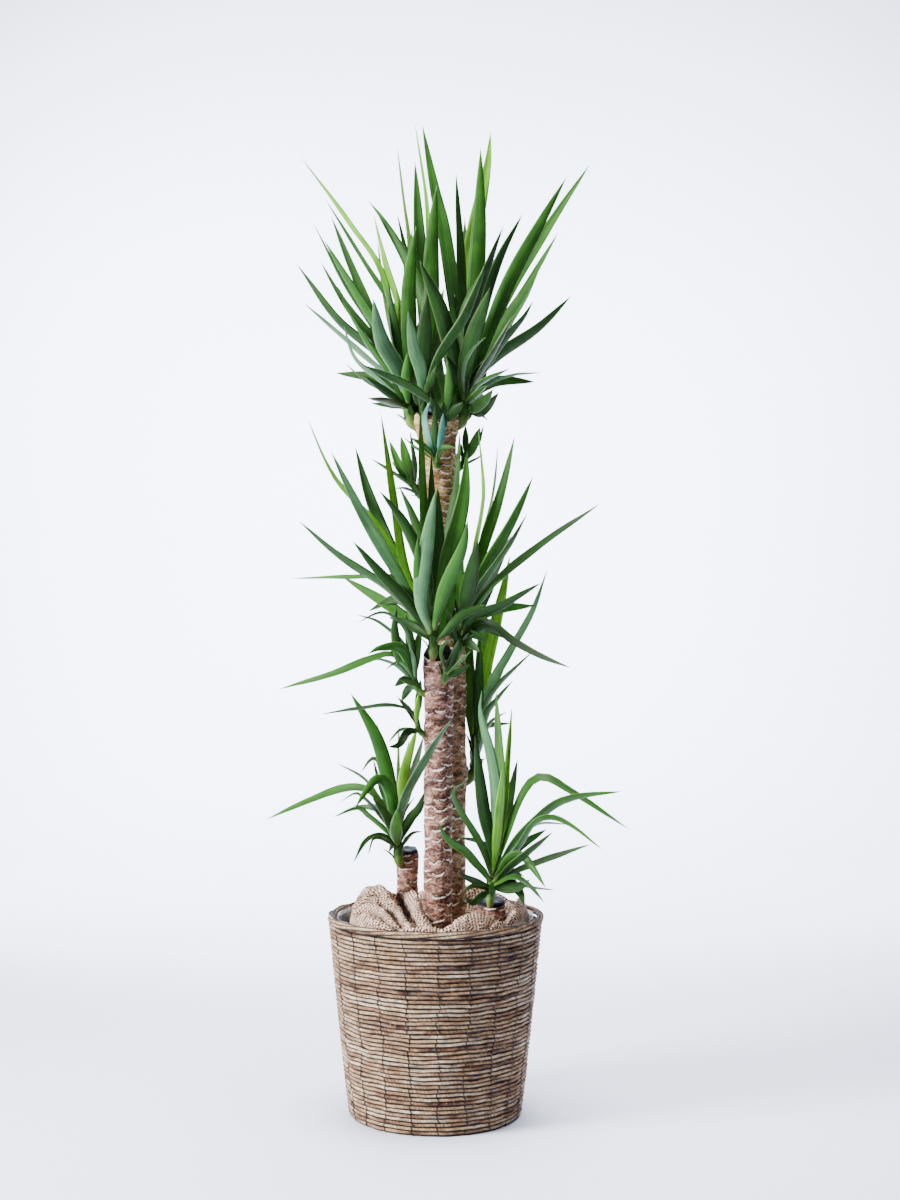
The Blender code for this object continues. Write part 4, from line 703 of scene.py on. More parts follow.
        (1.2, 3, (11.3, 47.3), (12.2, 57.6), (13, 68.9)), (1.9, 2, (11, 54.6), (10.3, 71.6)),
        (1.4, 1, (11.8, 45.7), (14.7, 53.6), (17.8, 56.8), (22.5, 54.7), (33.1, 47.8)),
        (1.5, -3, (12.7, 44.7), (16.7, 49.1), (22, 52.9), (31.9, 54.4)),
        (1, -9, (14.2, 45), (17.3, 49.3), (21.2, 49.6), (28.5, 44.4)), (0.5, 6, (16.4, 48.3), (23.5, 48.8)),
        (1.2, -12, (13.2, 41.9), (17.8, 45.7), (20.1, 47.6)),
        (1.2, 3, (13.7, 40.8), (18.8, 42.8), (26.4, 45.4)),
        (1.5, -8, (12.8, 43.2), (14.7, 43.4), (16.2, 41.8), (18.8, 37.9)),
        (0.9, -12, (13, 39.8), (15.4, 38.8), (18.6, 35.4)),
        (0.5, -4, (13.7, 38.4), (17.3, 37.9), (20.3, 37.6)), (2, -7, (14.2, 38.2), (16.1, 39.4)),
        (1.2, -6, (6.9, 39), (3.8, 40.5)), (1.5, -9, (6.9, 42), (4.8, 44.4), (2.1, 46.2), (0.4, 49.1)),
        (0.5, -3, (6.9, 41.5), (4.8, 43.4)),
        (1.2, -10, (7.4, 45.7), (6, 48.1), (3.5, 52.5), (3.1, 54.6), (6, 56.3)),
        (1, -5, (8.2, 45.3), (6, 46.2), (3.7, 46.4)), (1, -3, (6.9, 38.4), (4.8, 37.5)),
        (1.8, 12, (12, 50), (14, 60)), (1.8, 14, (13, 44), (19, 48)), (1.5, 12, (12, 41), (15, 40)),
        (1.9, -5, (12.4, 38.8), (14.2, 37.4), (15.2, 35)), (1.2, -5, (7.8, 36.6), (6.3, 35.4), (4.9, 36.6)),
    ]),
}


def seen(x, z, depth):
    spread = (eye["distance"] + depth) / eye["distance"]
    return Vector((eye["x"] + (x - eye["x"]) * spread, depth, eye["z"] + (z - eye["z"]) * spread)) * cm


def smoothPath(points, perSpan=8):
    path = [points[0]]
    for i in range(len(points) - 1):
        start, end = points[i], points[i + 1]
        before = points[i - 1] if i else start
        after = points[i + 2] if i + 2 < len(points) else end
        reach = (end - start).length / 3
        leanOut = (end - before).normalized() * reach
        leanIn = (after - start).normalized() * reach
        path += interpolate_bezier(start, start + leanOut, end - leanIn, end, perSpan + 1)[1:]
    return path


def lengthOf(path):
    return sum((b - a).length for a, b in zip(path, path[1:]))


def along(path, share):  # point and direction at a share of the length
    steps = [(b - a).length for a, b in zip(path, path[1:])]
    left = share * sum(steps)
    for i, step in enumerate(steps):
        if left <= step or i == len(steps) - 1:
            direction = (path[i + 1] - path[i]).normalized()
            return path[i] + direction * min(left, step), direction
        left -= step


def smoothStep(low, high, value):
    share = min(1.0, max(0.0, (value - low) / (high - low)))
    return share * share * (3 - 2 * share)


def between(table, place):  # straight lines through (place, value) pairs
    for (a, first), (b, second) in zip(table, table[1:]):
        if place <= b:
            return first + (second - first) * max(0.0, (place - a) / (b - a))
    return table[-1][1]


# Canes: bark with crescent leaf scars, and sealed tops

bark = dict(  # centimetres
    spacing=0.165, step=0.15, lowStep=1.5, shownFrom=29.0, ledge=0.09, rough=0.07,
    scarWidth=2.4, scarThick=0.07, scarRise=0.05, curl=0.28, slant=0.13)

cap = dict(  # profile: shares of the cane's radius and of the cap's height, from the edge in
    height=0.5, share=0.97, around=48,
    profile=[(0.995, -0.35), (1.015, -0.05), (0.99, 0.35), (0.93, 0.75), (0.8, 0.95), (0.6, 1.0),
             (0.35, 0.9), (0.12, 0.84)])


def caneCourse(cane):
    return smoothPath([seen(x, z, cane["depth"]) for x, z in cane["axis"]], 10)


def caneRadius(cane, height):  # centimetres
    swell = sum(size * math.exp(-((height - at) / 2.5) ** 2) for at, size in cane["knots"])
    return cane["radius"] + swell + 0.07 * math.sin(height * 0.37) + 0.05 * math.sin(height * 0.9 + 1)


def barkPoint(cane, turn, count, height):  # radius added in cm, scar mask, place between two scars
    seed = cane["seed"]
    cells = max(4, round(math.tau * cane["radius"] / bark["scarWidth"]))
    place = Vector((math.cos(turn) * 1.3, math.sin(turn) * 1.3, height * 0.45 + seed))
    u = turn / math.tau * cells + 0.5 * noise.noise(place)
    u += 0.25 * noise.noise(Vector((seed, height * 0.11, 0)))
    column = math.floor(u)
    f = 2 * (u - column) - 1
    number = column % cells
    phase = number * 0.57 + 0.4 * noise.noise(Vector((number * 3.1, seed, height * 0.05)))
    slant = bark["slant"] * noise.cell(Vector((number * 5.1, seed, round(count + phase))))
    y = count + phase - bark["curl"] * f * f + slant * f
    y += 0.12 * noise.noise(place * 2.1) + 0.05 * noise.noise(place * 8.0)
    level = y - math.floor(y)
    own = 0.5 + 0.5 * noise.cell(Vector((number * 7.3 + seed, round(y) * 1.7, 0.5)))
    near = min(level, 1 - level) * between(cane["pitch"], height)
    taper = max(0.0, 1 - (abs(f) / (0.85 + 0.25 * own)) ** 4)
    thick = bark["scarThick"] * (0.45 + 1.15 * own) * taper * (1 + 0.8 * noise.noise(place * 5))
    scar = 1 - smoothStep(thick * 0.7, thick * 1.6 + 0.001, near)
    relief = bark["ledge"] * (level - 0.5) + bark["scarRise"] * scar
    relief += bark["rough"] * (noise.noise(place * 2.2) + 0.6 * noise.noise(place * 6.5))
    return relief, scar * smoothStep(0.16, 0.7, own), level


def makeCane(name, cane, material):
    path = caneCourse(cane)
    low, high = path[0].z / cm, path[-1].z / cm
    heights = []
    height = low
    while height < high:
        heights.append(height)
        height += bark["lowStep"] if height < bark["shownFrom"] else bark["step"]
    heights.append(high)
    points, uvs, scars, levels = [], [], [], []
    count = 0.0
    around = round(math.tau * cane["radius"] / bark["spacing"])
    for i, height in enumerate(heights):
        pair = next((p for p in zip(path, path[1:]) if p[1].z / cm >= height - 1e-6), (path[-2], path[-1]))
        share = (height * cm - pair[0].z) / (pair[1].z - pair[0].z)
        centre = pair[0].lerp(pair[1], min(1.0, share))
        if i:
            count += (height - heights[i - 1]) / between(cane["pitch"], height)
        # the top rings lean over to the sloping cut
        lean = cane["slope"] * smoothStep(high - 3.0, high, height)
        radius = caneRadius(cane, height)
        for j in range(around):
            turn = math.tau * j / around
            relief, scar, level = barkPoint(cane, turn, count, height)
            out = (radius + relief) * cm
            points.append((centre.x + out * math.cos(turn), centre.y + out * math.sin(turn),
                           centre.z + lean * out * math.sin(turn)))
            uvs.append((turn * radius * cm, height * cm))
            scars.append(scar)
            levels.append(level)
    start, full = cane["golden"]
    golden = [max(cane["tan"], smoothStep(start, full, p[2] / cm)) for p in points]
    mesh = meshOf("cane_" + name + "_bark", points, tubeFaces(0, len(heights), around), uvs, {
        "scar": scars, "level": levels, "golden": golden})
    newPiece("cane_" + name + "_bark", mesh, material, ["cane_" + name])


def makeCap(name, cane, material):
    top = seen(*cane["axis"][-1], cane["depth"])
    radius = caneRadius(cane, top.z / cm) * cap["share"] * cm
    around = cap["around"]
    points = []
    for share, rise in cap["profile"]:
        for j in range(around):
            turn = math.tau * j / around
            spot = Vector((math.cos(turn), math.sin(turn), 0)) * share * 2.2 + Vector((cane["seed"], 0, 0))
            out = radius * share * (1 + 0.03 * noise.noise(spot * 1.5))
            drip = min(0.0, rise - 0.2) * 1.2 * max(0.0, noise.noise(spot * 2.3) + 0.2)
            lift = (rise + drip + 0.22 * noise.noise(spot * 1.1)) * cap["height"] * cm
            points.append((top.x + out * math.cos(turn), top.y + out * math.sin(turn),
                           top.z + lift + cane["slope"] * out * math.sin(turn)))
    mesh = meshOf("cap_" + name + "_wax", points, tubeFaces(0, len(cap["profile"]), around))
    newPiece("cap_" + name + "_wax", mesh, material, ["cap_" + name])


def barkMaterial():
    # Woody stem bark, corky and dry: pinkish brown, cream lines where old leaves came off, painted shade just
    # above and below them
    made, make, place = newMaterial("Yucca bark, corky with leaf scars", {
        "Roughness": 0.8, "Specular IOR Level": 0.25})
    layers = ("scar", "level", "golden")
    scar, level, golden = (make("Attribute", out=2, attribute_name=name) for name in layers)
    flatter = make("Mapping", {"Vector": place, "Scale": (1.0, 1.0, 1.9)})
    patch = make("TexNoise", {"Vector": flatter, "Scale": 38.0, "Detail": 5.0, "Roughness": 0.65,
                              "Distortion": 0.7})
    flake = make("TexNoise", {"Vector": flatter, "Scale": 230.0, "Detail": 4.0, "Roughness": 0.75})
    mottled = make("*+", flake, 0.5, make("*", patch, 0.55))
    brown = make("ValToRGB", mottled, stops=[
        (0.40, "#1a0e0b"), (0.47, "#4a2d25"), (0.54, "#8a6151"), (0.61, "#bd9581"), (0.71, "#f2dfd2")])
    gold = make("ValToRGB", mottled, stops=[
        (0.38, "#3a2614"), (0.46, "#7f5a34"), (0.54, "#b08a56"), (0.66, "#e2c894")])
    skin = make("Mix", {"Factor": golden, 6: brown, 7: gold}, **mixing)
    # painted shade in patchy bands just above and below each scar line, where the bark steps
    above = make("MapRange", level, 0.45, 0.1, 0.0, 0.85)
    below = make("MapRange", level, 0.84, 0.95, 0.0, 0.75)
    shade = make("*", make("Math:MAXIMUM", above, below),
                 make("MapRange", patch, 0.35, 0.6, 1.0, 0.45))
    shaded = make("Mix", {"Factor": shade, 6: skin, 7: "#2a1810"}, **mixing)
    broken = make("MapRange", flake, 0.24, 0.38)
    cream = make("*", scar, broken)
    lined = make("Mix", {"Factor": cream, 6: shaded, 7: "#fff4e8"}, **mixing)
    spot = make("TexVoronoi", {"Vector": place, "Scale": 24.0})
    bud = make("MapRange", spot, 0.09, 0.06, 0.0, 0.75)
    spotted = make("Mix", {"Factor": bud, 6: lined, 7: "#b9761f"}, **mixing)
    relief = make("*+", scar, 0.5, flake)
    return feed(made, {"Base Color": spotted,
                "Normal": make("Bump", {"Height": relief, "Distance": 1.6 * mm, "Strength": 0.8})})


def waxMaterial():
    # Brushed-on pruning wax: glossy purple black with a dusty bloom
    made, make, place = newMaterial("Pruning wax, brushed on", {"Specular IOR Level": 0.12})
    cloud = make("TexNoise", {"Vector": place, "Scale": 120.0, "Detail": 4.0})
    return feed(made, {
        "Base Color": make("ValToRGB", cloud, stops=[
            (0.35, "#040307"), (0.55, "#0c0913"), (0.75, "#1e1929")]),
        "Roughness": make("MapRange", cloud, 0.0, 1.0, 0.35, 0.65),
        "Normal": make("Bump", {"Height": cloud, "Distance": 1.5 * mm, "Strength": 0.5})})


def makeCanes():
    barkSkin = barkMaterial()
    wax = waxMaterial()
    for name, cane in canes.items():
        makeCane(name, cane, barkSkin)
        makeCap(name, cane, wax)


makeCanes()
print("canes ready")


# Leafy shoots

leaf = dict(
    fullWidth=2.3, neck=0.42, widest=0.42, rootLowest=0.5, rootHighest=0.94, rootAside=0.3,
    stations=22, shortStations=14, shortUnder=12, channel=0.24, thickness=0.55 * mm, edgeShare=0.45,
    wave=0.05, clasp=0.10, halfShade=0.14, rootTint="#8fae52")

stem = dict(rings=26, around=22, tints=("#6b3f2a", "#64803a", "#2c5417"))  # woody foot, pale, green head

sheath = dict(perCm=1.7, stations=7, lowest=0.25, highest=0.97, turn=2.4, length=(2.8, 6.0), lean=(4, 30),
              width=(0.9, 1.6), tones="ddm", fullRadius=1.1)

tones = {  # a blade's colour and its paler one: dark, middle, young, silvery, blue green
    "d": ("#0b2703", "#244d11"),
    "m": ("#1a4a0c", "#38691f"),
    "y": ("#3f850a", "#80b938"),
    "s": ("#284f2c", "#5a875a"),
    "b": ("#23685c", "#6bab9c"),
}


def tintOf(hexCode):
    return Vector(colour(hexCode)[:3])


def stemPath(shoot):
    return smoothPath([seen(*place) for place in shoot["stem"]], 4)


def riseOf(shoot, blade):
    depth, place = blade[1], blade[2]
    x, z = shoot["stem"][-1][:2]
    run = math.hypot(place[0] - x, depth * 0.5)
    return (place[1] - z) / math.hypot(run, place[1] - z)


def rootOf(shoot, blade):  # the flattest leaf lowest, on its own side of the stem's middle
    order = sorted(shoot["leaves"], key=lambda other: riseOf(shoot, other))
    rank = order.index(blade)
    share = rank / max(1, len(order) - 1)
    place = leaf["rootLowest"] + (leaf["rootHighest"] - leaf["rootLowest"]) * share
    middle = along(stemPath(shoot), place)[0]
    heading = math.atan2(blade[1] * 0.5, blade[2][0] - shoot["stem"][-1][0]) + 0.1 * math.sin(rank)
    outward = Vector((math.cos(heading), math.sin(heading), 0))
    return middle + outward * shoot["radius"] * cm * leaf["rootAside"]


def leafPath(shoot, blade):
    depth, places = blade[1], blade[2:]
    root = rootOf(shoot, blade)
    xs = [root.x / cm] + [x for x, _ in places]
    zs = [root.z / cm] + [z for _, z in places]
    runs = [math.hypot(x2 - x1, z2 - z1) for x1, x2, z1, z2 in zip(xs, xs[1:], zs, zs[1:])]
    points = [root]
    for i, (x, z) in enumerate(places):
        share = sum(runs[: i + 1]) / sum(runs)
        points.append(seen(x, z, root.y / cm + depth * share ** 0.8))
    return smoothPath(points)


def bladeWidth(share):
    widest = leaf["widest"]
    if share < widest:
        return leaf["neck"] + (1 - leaf["neck"]) * smoothStep(0, widest, share)
    return 1.0 - ((share - widest) / (1 - widest)) ** 2.2


def bladeFrames(path, shares, seenWidth, fullWidth):  # centre, sideways and upward directions
    eyePlace = Vector((eye["x"], -eye["distance"], eye["z"])) * cm
    found = []
    for share in shares:
        centre, direction = along(path, share)
        flat = (centre - eyePlace).normalized().cross(direction).normalized()
        if found and flat.dot(found[-1][2]) < 0:
            flat = -flat
        found.append((centre, direction, flat))
    flatShare = min(1.0, seenWidth / fullWidth)
    deepShare = math.sqrt(1.0 - flatShare ** 2)

    def turnedBy(tilt, direction, flat):
        side = flat * flatShare + direction.cross(flat) * deepShare * tilt
        return side, side.cross(direction)

    centre, direction, flat = found[len(found) // 2]
    inward = Vector((0, 0, 1)) - (centre - path[0]).normalized() * 0.6
    facing = {tilt: turnedBy(tilt, direction, flat)[1].dot(inward) for tilt in (1, -1)}
    tilt = max(facing, key=lambda each: abs(facing[each]))
    frames = []
    for centre, direction, flat in found:
        side, up = turnedBy(tilt, direction, flat)
        frames.append((centre, side, up if facing[tilt] > 0 else -up))
    return frames


def addBlade(path, frames, shares, fullWidth, tone, draw, into):
    length = lengthOf(path)
    points, uvs, colours = into["points"], into["uvs"], into["colours"]
    first = len(points)
    dark, light = (tintOf(hexCode) for hexCode in tones[tone])
    blend = dark.lerp(light, draw.uniform(0.25, 0.6)) * draw.uniform(0.82, 1.18)
    rootTint = tintOf(leaf["rootTint"])
    wavePhase = draw.uniform(0, math.tau)
    lean = draw.uniform(-0.25, 0.25)  # one half of the blade stands higher
    halfShade = leaf["halfShade"] * draw.choice((-1, 1))  # painted shade on one half of the blade, painted light on the other
    across = (-1.0, -0.7, -0.35, 0.0, 0.35, 0.7, 1.0)
    around = across + across[-2:0:-1]
    for share, (centre, side, up) in zip(shares, frames):
        half = fullWidth / 2 * bladeWidth(share)
        clasp = max(0.0, 1 - share / leaf["clasp"])
        dip = half * (leaf["channel"] * (1 - 0.5 * share) + 0.35 * clasp)
        tint = blend.lerp(rootTint, 0.6 * clasp)
        upper = []
        for t in across:
            wave = leaf["wave"] * half * math.sin(share * 19 + wavePhase + t) * abs(t)
            lift = dip * (abs(t) ** 1.15 - 0.55) + wave + lean * 0.12 * half * t
            upper.append(centre + side * half * t + up * lift)
        lower = []
        for t in across[-2:0:-1]:
            thick = leaf["thickness"] * (1 - (1 - leaf["edgeShare"]) * abs(t)) * 2
            lower.append(upper[across.index(t)] - up * thick)
        points += upper + lower
        uvs += [(0.5 + 0.5 * t, share * length) for t in around]
        colours += [(*(tint * (1 + halfShade * t)), 1.0) for t in around]
    size = len(around)
    into["faces"] += ringFaces(first, len(frames), size)
    tip = len(points)
    points.append(path[-1])
    uvs.append((0.5, length))
    colours.append((*blend, 1.0))
    into["faces"] += [(tip - size + j, tip - size + (j + 1) % size, tip) for j in range(size)]
    into["faces"].append(tuple(reversed(range(first, first + size))))


def addLeaf(shoot, blade, tone, draw, into):
    path = leafPath(shoot, blade)
    length = lengthOf(path)
    seenWidth = blade[0] * cm
    fullWidth = max(seenWidth, leaf["fullWidth"] * cm * min(1.0, 0.35 + length / (45 * cm)))
    count = leaf["stations"] if length > leaf["shortUnder"] * cm else leaf["shortStations"]
    shares = [min(0.999, step / count) for step in range(count)]
    addBlade(path, bladeFrames(path, shares, seenWidth, fullWidth), shares, fullWidth, tone, draw, into)


def stemSides(direction):
    side = direction.cross(Vector((0, 1, 0))).normalized()
    return side, side.cross(direction)


def addSheaths(shoot, draw, into):  # short pointed leaf bases that wrap the stem under the long blades
    core = stemPath(shoot)
    size = min(1.0, shoot["radius"] / sheath["fullRadius"])
    count = round(lengthOf(core) / cm * sheath["perCm"] * size)
    shares = [step / sheath["stations"] for step in range(sheath["stations"])]
    for i in range(count):
        place = sheath["lowest"] + (sheath["highest"] - sheath["lowest"]) * (i + 0.5) / count
        spot, direction = along(core, place)
        side, other = stemSides(direction)
        turn = i * sheath["turn"] + draw.uniform(-0.3, 0.3)
        outward = side * math.cos(turn) + other * math.sin(turn)
        reach = draw.uniform(*sheath["length"]) * cm * (0.65 + 0.6 * place) * size
        lean = math.radians(draw.uniform(*sheath["lean"]))
        root = spot + outward * shoot["radius"] * cm * 0.75
        upright = direction.lerp(Vector((0, 0, 1)), 0.35).normalized()
        middle = root + (upright * math.cos(lean * 0.4) + outward * math.sin(lean * 0.4)) * reach * 0.45
        tip = root + (upright * math.cos(lean) + outward * math.sin(lean)) * reach
        path = smoothPath([root, middle, tip], 5)
        frames = []
        for share in shares:
            centre, heading = along(path, share)
            across = heading.cross(outward).normalized()
            frames.append((centre, across, across.cross(heading)))
        width = draw.uniform(*sheath["width"]) * cm * size
        addBlade(path, frames, shares, width, draw.choice(sheath["tones"]), draw, into)


def addStem(shoot, into):
    path = stemPath(shoot)
    radius = shoot["radius"] * cm
    rings, around = stem["rings"], stem["around"]
    first = len(into["points"])
    woody, pale, green = (tintOf(hexCode) for hexCode in stem["tints"])
    for i in range(rings):
        share = i / (rings - 1)
        centre, direction = along(path, share)
        side, up = stemSides(direction)
        size = radius * (1.0 - 0.45 * share * share) * (0.62 + 0.38 * smoothStep(0.05, 0.4, share))
        if share > 0.9:
            size *= math.sqrt(max(0.05, 1 - ((share - 0.9) / 0.1) ** 2))
        for j in range(around):
            turn = math.tau * j / around
            bract = (share * 6 + turn / math.tau * 2) % 1.0  # leaf bases wrap round the stem
            out = size * (0.90 + 0.14 * bract)
            into["points"].append(centre + (side * math.cos(turn) + up * math.sin(turn)) * out)
            into["uvs"].append((j / around, share * 0.05))
            tint = woody.lerp(pale, smoothStep(0.14, 0.3, share)).lerp(green, smoothStep(0.26, 0.5, share))
            # painted shade and light: each leaf base darker at its sunken foot, lighter where it stands out
            into["colours"].append((*(tint * (0.6 + 0.55 * bract)), 1.0))
    into["faces"] += tubeFaces(first, rings, around)


def leafMaterial():
    # Fresh yucca blade: leathery with a satin wax skin, fine veins all along it, thin pale margins
    made, make, place = newMaterial("Yucca leaf, waxy and parallel veined", {"Specular IOR Level": 0.2})
    tone = make("Attribute", attribute_name="tone")
    parts = make("SeparateXYZ", make("UVMap", uv_map="UVMap")).node.outputs
    veinSpot = make("CombineXYZ", make("*", parts[0], 7.0),
                    make("*", parts[1], 2.5), 0.0)
    drift = make("VectorMath:SCALE", place, {"Scale": 3.0})
    vein = make("TexNoise", {"Vector": make("VectorMath:ADD", veinSpot, drift), "Scale": 1.0, "Detail": 4.0,
                             "Roughness": 0.7})
    cloud = make("TexNoise", {"Vector": place, "Scale": 22.0, "Detail": 2.0})
    amount = make("+", make("*", vein, 0.75), make("*", cloud, 0.45))
    gain = make("MapRange", amount, 0.40, 0.80, 0.45, 1.6)
    striped = make("VectorMath:SCALE", tone, {"Scale": gain})
    fromMiddle = make("Math:ABSOLUTE", make("-", parts[0], 0.5))
    margin = make("MapRange", fromMiddle, 0.455, 0.5, 0.0, 0.25)
    edged = make("Mix", {"Factor": margin, 6: striped, 7: "#b8cf8a"}, **mixing)
    return feed(made, {"Base Color": edged, "Roughness": make("MapRange", vein, 0.0, 1.0, 0.42, 0.6),
                "Normal": make("Bump", {"Height": vein, "Distance": 0.5 * mm, "Strength": 0.45})})


def makeShoots():
    skin = leafMaterial()
    for number, (name, shoot) in enumerate(shoots.items()):
        draw = random.Random(100 + number)
        into = dict(points=[], uvs=[], colours=[], faces=[])
        addStem(shoot, into)
        for blade, tone in zip(shoot["leaves"], shoot["tones"]):
            addLeaf(shoot, blade, tone, draw, into)
        addSheaths(shoot, draw, into)
        mesh = meshOf("shoot_" + name + "_leaves", into["points"], into["faces"], into["uvs"], {
            "tone": into["colours"]})
        newPiece("shoot_" + name + "_leaves", mesh, skin, ["shoot_" + name])


makeShoots()
print("shoots ready")


# Film, nursery pot and soil inside the basket

inside = dict(floor=1.06 * cm, filmTop=33.4 * cm, wallFoot=14.0 * cm, wallTop=16.95 * cm, ruffle=4.5 * mm,
              crumple=2.2 * mm, filmThick=0.35 * mm, around=260, soilScale=300.0)


def filmPoint(turn, share, inset):  # a film bag pushed into the basket, creased most at its free edge
    radius = inside["wallFoot"] + (inside["wallTop"] - inside["wallFoot"]) * share - inset
    height = inside["floor"] + (inside["filmTop"] - inside["floor"]) * share + inset
    free = smoothStep(0.72, 1.0, share)
    spot = Vector((math.cos(turn) * 9, math.sin(turn) * 9, share * 13))
    crease = 1 - abs(noise.noise(spot)) * 2.4
    fine = noise.noise(spot * 2.7)
    radius -= inside["crumple"] * free * (0.9 + crease + 0.7 * fine)
    slow = noise.noise(Vector((math.cos(turn) * 4, math.sin(turn) * 4, 7)))
    height += inside["ruffle"] * free * (slow + 0.3 * fine)
    return radius * math.cos(turn), radius * math.sin(turn), height


def filmMaterial():
    # Clear polythene film, crumpled: milky grey with sharp glints along its creases
    made, make, place = newMaterial("Polythene film, crumpled", {
        "Base Color": "#c9ced6", "Roughness": 0.16, "Transmission Weight": 0.55, "IOR": 1.35,
        "Specular IOR Level": 0.7})
    crease = make("TexNoise", {"Vector": place, "Scale": 95.0, "Detail": 3.0, "Roughness": 0.55})
    facet = make("TexVoronoi", {"Vector": place, "Scale": 60.0})
    relief = make("+", crease, facet)
    return feed(made, {"Normal": make("Bump", {"Height": relief, "Distance": 2.5 * mm, "Strength": 0.8})})


def plasticMaterial():
    # Injection-moulded polypropylene pot: black, faintly matte
    made, make, place = newMaterial("Nursery pot polypropylene, black", {"Base Color": "#17181a"})
    grain = make("TexNoise", {"Vector": place, "Scale": 500.0, "Detail": 2.0})
    return feed(made, {"Roughness": make("MapRange", grain, 0.0, 1.0, 0.38, 0.55),
                "Normal": make("Bump", {"Height": grain, "Distance": 0.1 * mm, "Strength": 0.3})})


def soilMaterial():
    # Peat potting soil, damp, with paler crumbs
    made, make, place = newMaterial("Potting soil, damp peat", {
        "Roughness": 0.95, "Specular IOR Level": 0.15})
    crumb = make("TexVoronoi", {"Vector": place, "Scale": inside["soilScale"]})
    clod = make("TexNoise", {"Vector": place, "Scale": 80.0, "Detail": 6.0, "Roughness": 0.7})
    tint = make("ValToRGB", clod, stops=[(0.35, "#0f0a07"), (0.52, "#2b1d14"), (0.66, "#4d382a")])
    relief = make("+", crumb, clod)
    return feed(made, {"Base Color": tint, "Normal": make("Bump", {"Height": relief, "Distance": 3 * mm})})


def makeInside():
    around = inside["around"]
    # rings stand closer at the free edge
    shares = [i / 16 for i in range(13)] + [0.76 + 0.03 * i for i in range(9)]
    points = []
    for inset, run in ((0.0, shares), (inside["filmThick"], shares[::-1])):
        for share in run:
            points += [filmPoint(math.tau * j / around, share, inset) for j in range(around)]
    mesh = meshOf("liner_film", points, tubeFaces(0, 2 * len(shares), around))
    newPiece("liner_film", mesh, filmMaterial(), ["liner"])
    nodes["nursery_pot"].data.materials[0] = plasticMaterial()
    nodes["soil"].data.materials[0] = soilMaterial()


makeInside()
print("film, pot and soil ready")


# Burlap bundled over the pot and round the canes. Folds are read from the photo: half width, then
# x, y and the ridge's height over the cloth, all in centimetres

cloth = dict(
    level=32.3, radius=16.5, tuck=1.6, cells=176, thick=1.1 * mm, weave=6.2 * mm,  # drawn twice life size
    edgeDrop=2.6, clearance=0.18, overhang=0.35, wrinkle=0.34, hollowDeep=0.26, shadeReach=1.5,
    deepest=0.85, flatWidth=0.42, flatLength=0.42,
    mounds=[  # x, y, reach in x, reach in y, rise
        (-10.6, 4.0, 4.0, 5.2, 2.5), (-9.0, -5.0, 3.8, 5.0, 1.4), (5.5, -10.8, 3.6, 3.0, 1.2),
        (13.2, -2.5, 2.6, 4.5, 1.4), (7.5, 10.0, 6.5, 4.0, 3.4), (-3.0, 12.5, 7.0, 3.5, 2.2),
        (0.0, -15.2, 7.0, 1.6, 0.7), (2.5, -6.3, 3.6, 3.0, -1.6), (9.4, -6.0, 3.4, 2.2, -0.8),
        (14.8, -8.5, 2.0, 3.0, -0.9), (-7.6, 5.2, 2.6, 2.6, 2.0),
        (-12.4, 6.2, 2.0, 2.8, 1.7)],
    folds=[
        (1.4, (-12.4, 6.0, 0.8), (-10.4, 5.0, 1.3), (-8.1, 2.2, 1.9), (-6.1, -3.0, 1.7),
         (-4.4, -8.2, 1.2), (-3.2, -11.6, 0.3)),
        (1.6, (-4.4, 4.6, 2.8), (-3.8, 2.0, 4.3), (-3.1, -1.5, 3.3), (-2.2, -6.0, 2.0), (-1.0, -10.5, 0.6)),
        (1.35, (1.9, -15.6, 0.5), (4.0, -12.6, 1.7), (6.6, -11.0, 2.1), (9.4, -10.2, 1.7)),
        (1.45, (7.6, -14.6, 0.4), (10.3, -11.2, 1.7), (12.8, -6.6, 2.4), (14.5, -2.4, 3.0),
         (14.8, 1.5, 1.7)),
        (1.0, (-8.5, -12.6, 0.3), (-4.0, -14.6, 0.7), (0.0, -15.3, 0.6), (1.6, -15.4, 0.1)),
        (0.9, (-14.0, -3.0, 0.6), (-12.0, -5.5, 1.1), (-9.8, -8.8, 1.0), (-7.5, -11.5, 0.5)),
        (0.8, (-12.9, 1.0, 1.0), (-10.4, -1.8, 1.3), (-8.0, -5.6, 1.0), (-6.9, -8.6, 0.4)),
        (0.7, (-14.2, 2.4, 0.5), (-12.2, 3.0, 0.9), (-10.2, 1.4, 0.8), (-8.8, -1.2, 0.3)),
        (0.9, (3.5, 8.0, 0.8), (6.5, 9.6, 1.4), (9.8, 8.2, 1.2), (12.2, 5.6, 0.8)),
        (1.0, (-8.0, 12.2, 0.8), (-5.2, 9.0, 1.2), (-2.0, 8.2, 0.6)),
        (0.8, (12.6, -11.6, 0.2), (14.6, -7.6, 0.9), (15.8, -3.0, 0.6)),
    ],
    valleys=[  # sharp hollows between the folds: how deep, in the same way
        (0.75, (-6.1, 3.6, 0.7), (-5.4, 0.0, 0.9), (-4.5, -5.0, 0.9), (-3.4, -10.0, 0.4)),
        (0.7, (4.6, -15.0, 0.3), (8.4, -12.6, 1.1), (11.2, -9.4, 1.3), (12.2, -6.4, 0.9)),
        (0.6, (-12.6, -1.4, 0.5), (-10.0, -4.4, 0.9), (-7.8, -8.4, 0.8), (-5.6, -12.0, 0.3)),
        (0.6, (-9.6, 1.0, 0.3), (-8.0, -2.6, 0.9), (-6.2, -7.6, 0.8), (-4.8, -11.0, 0.2)),
    ])

clothFibres = dict(amount=2900, length=8.0 * mm, thickness=0.2 * mm, lowest=0.0, seed=9)


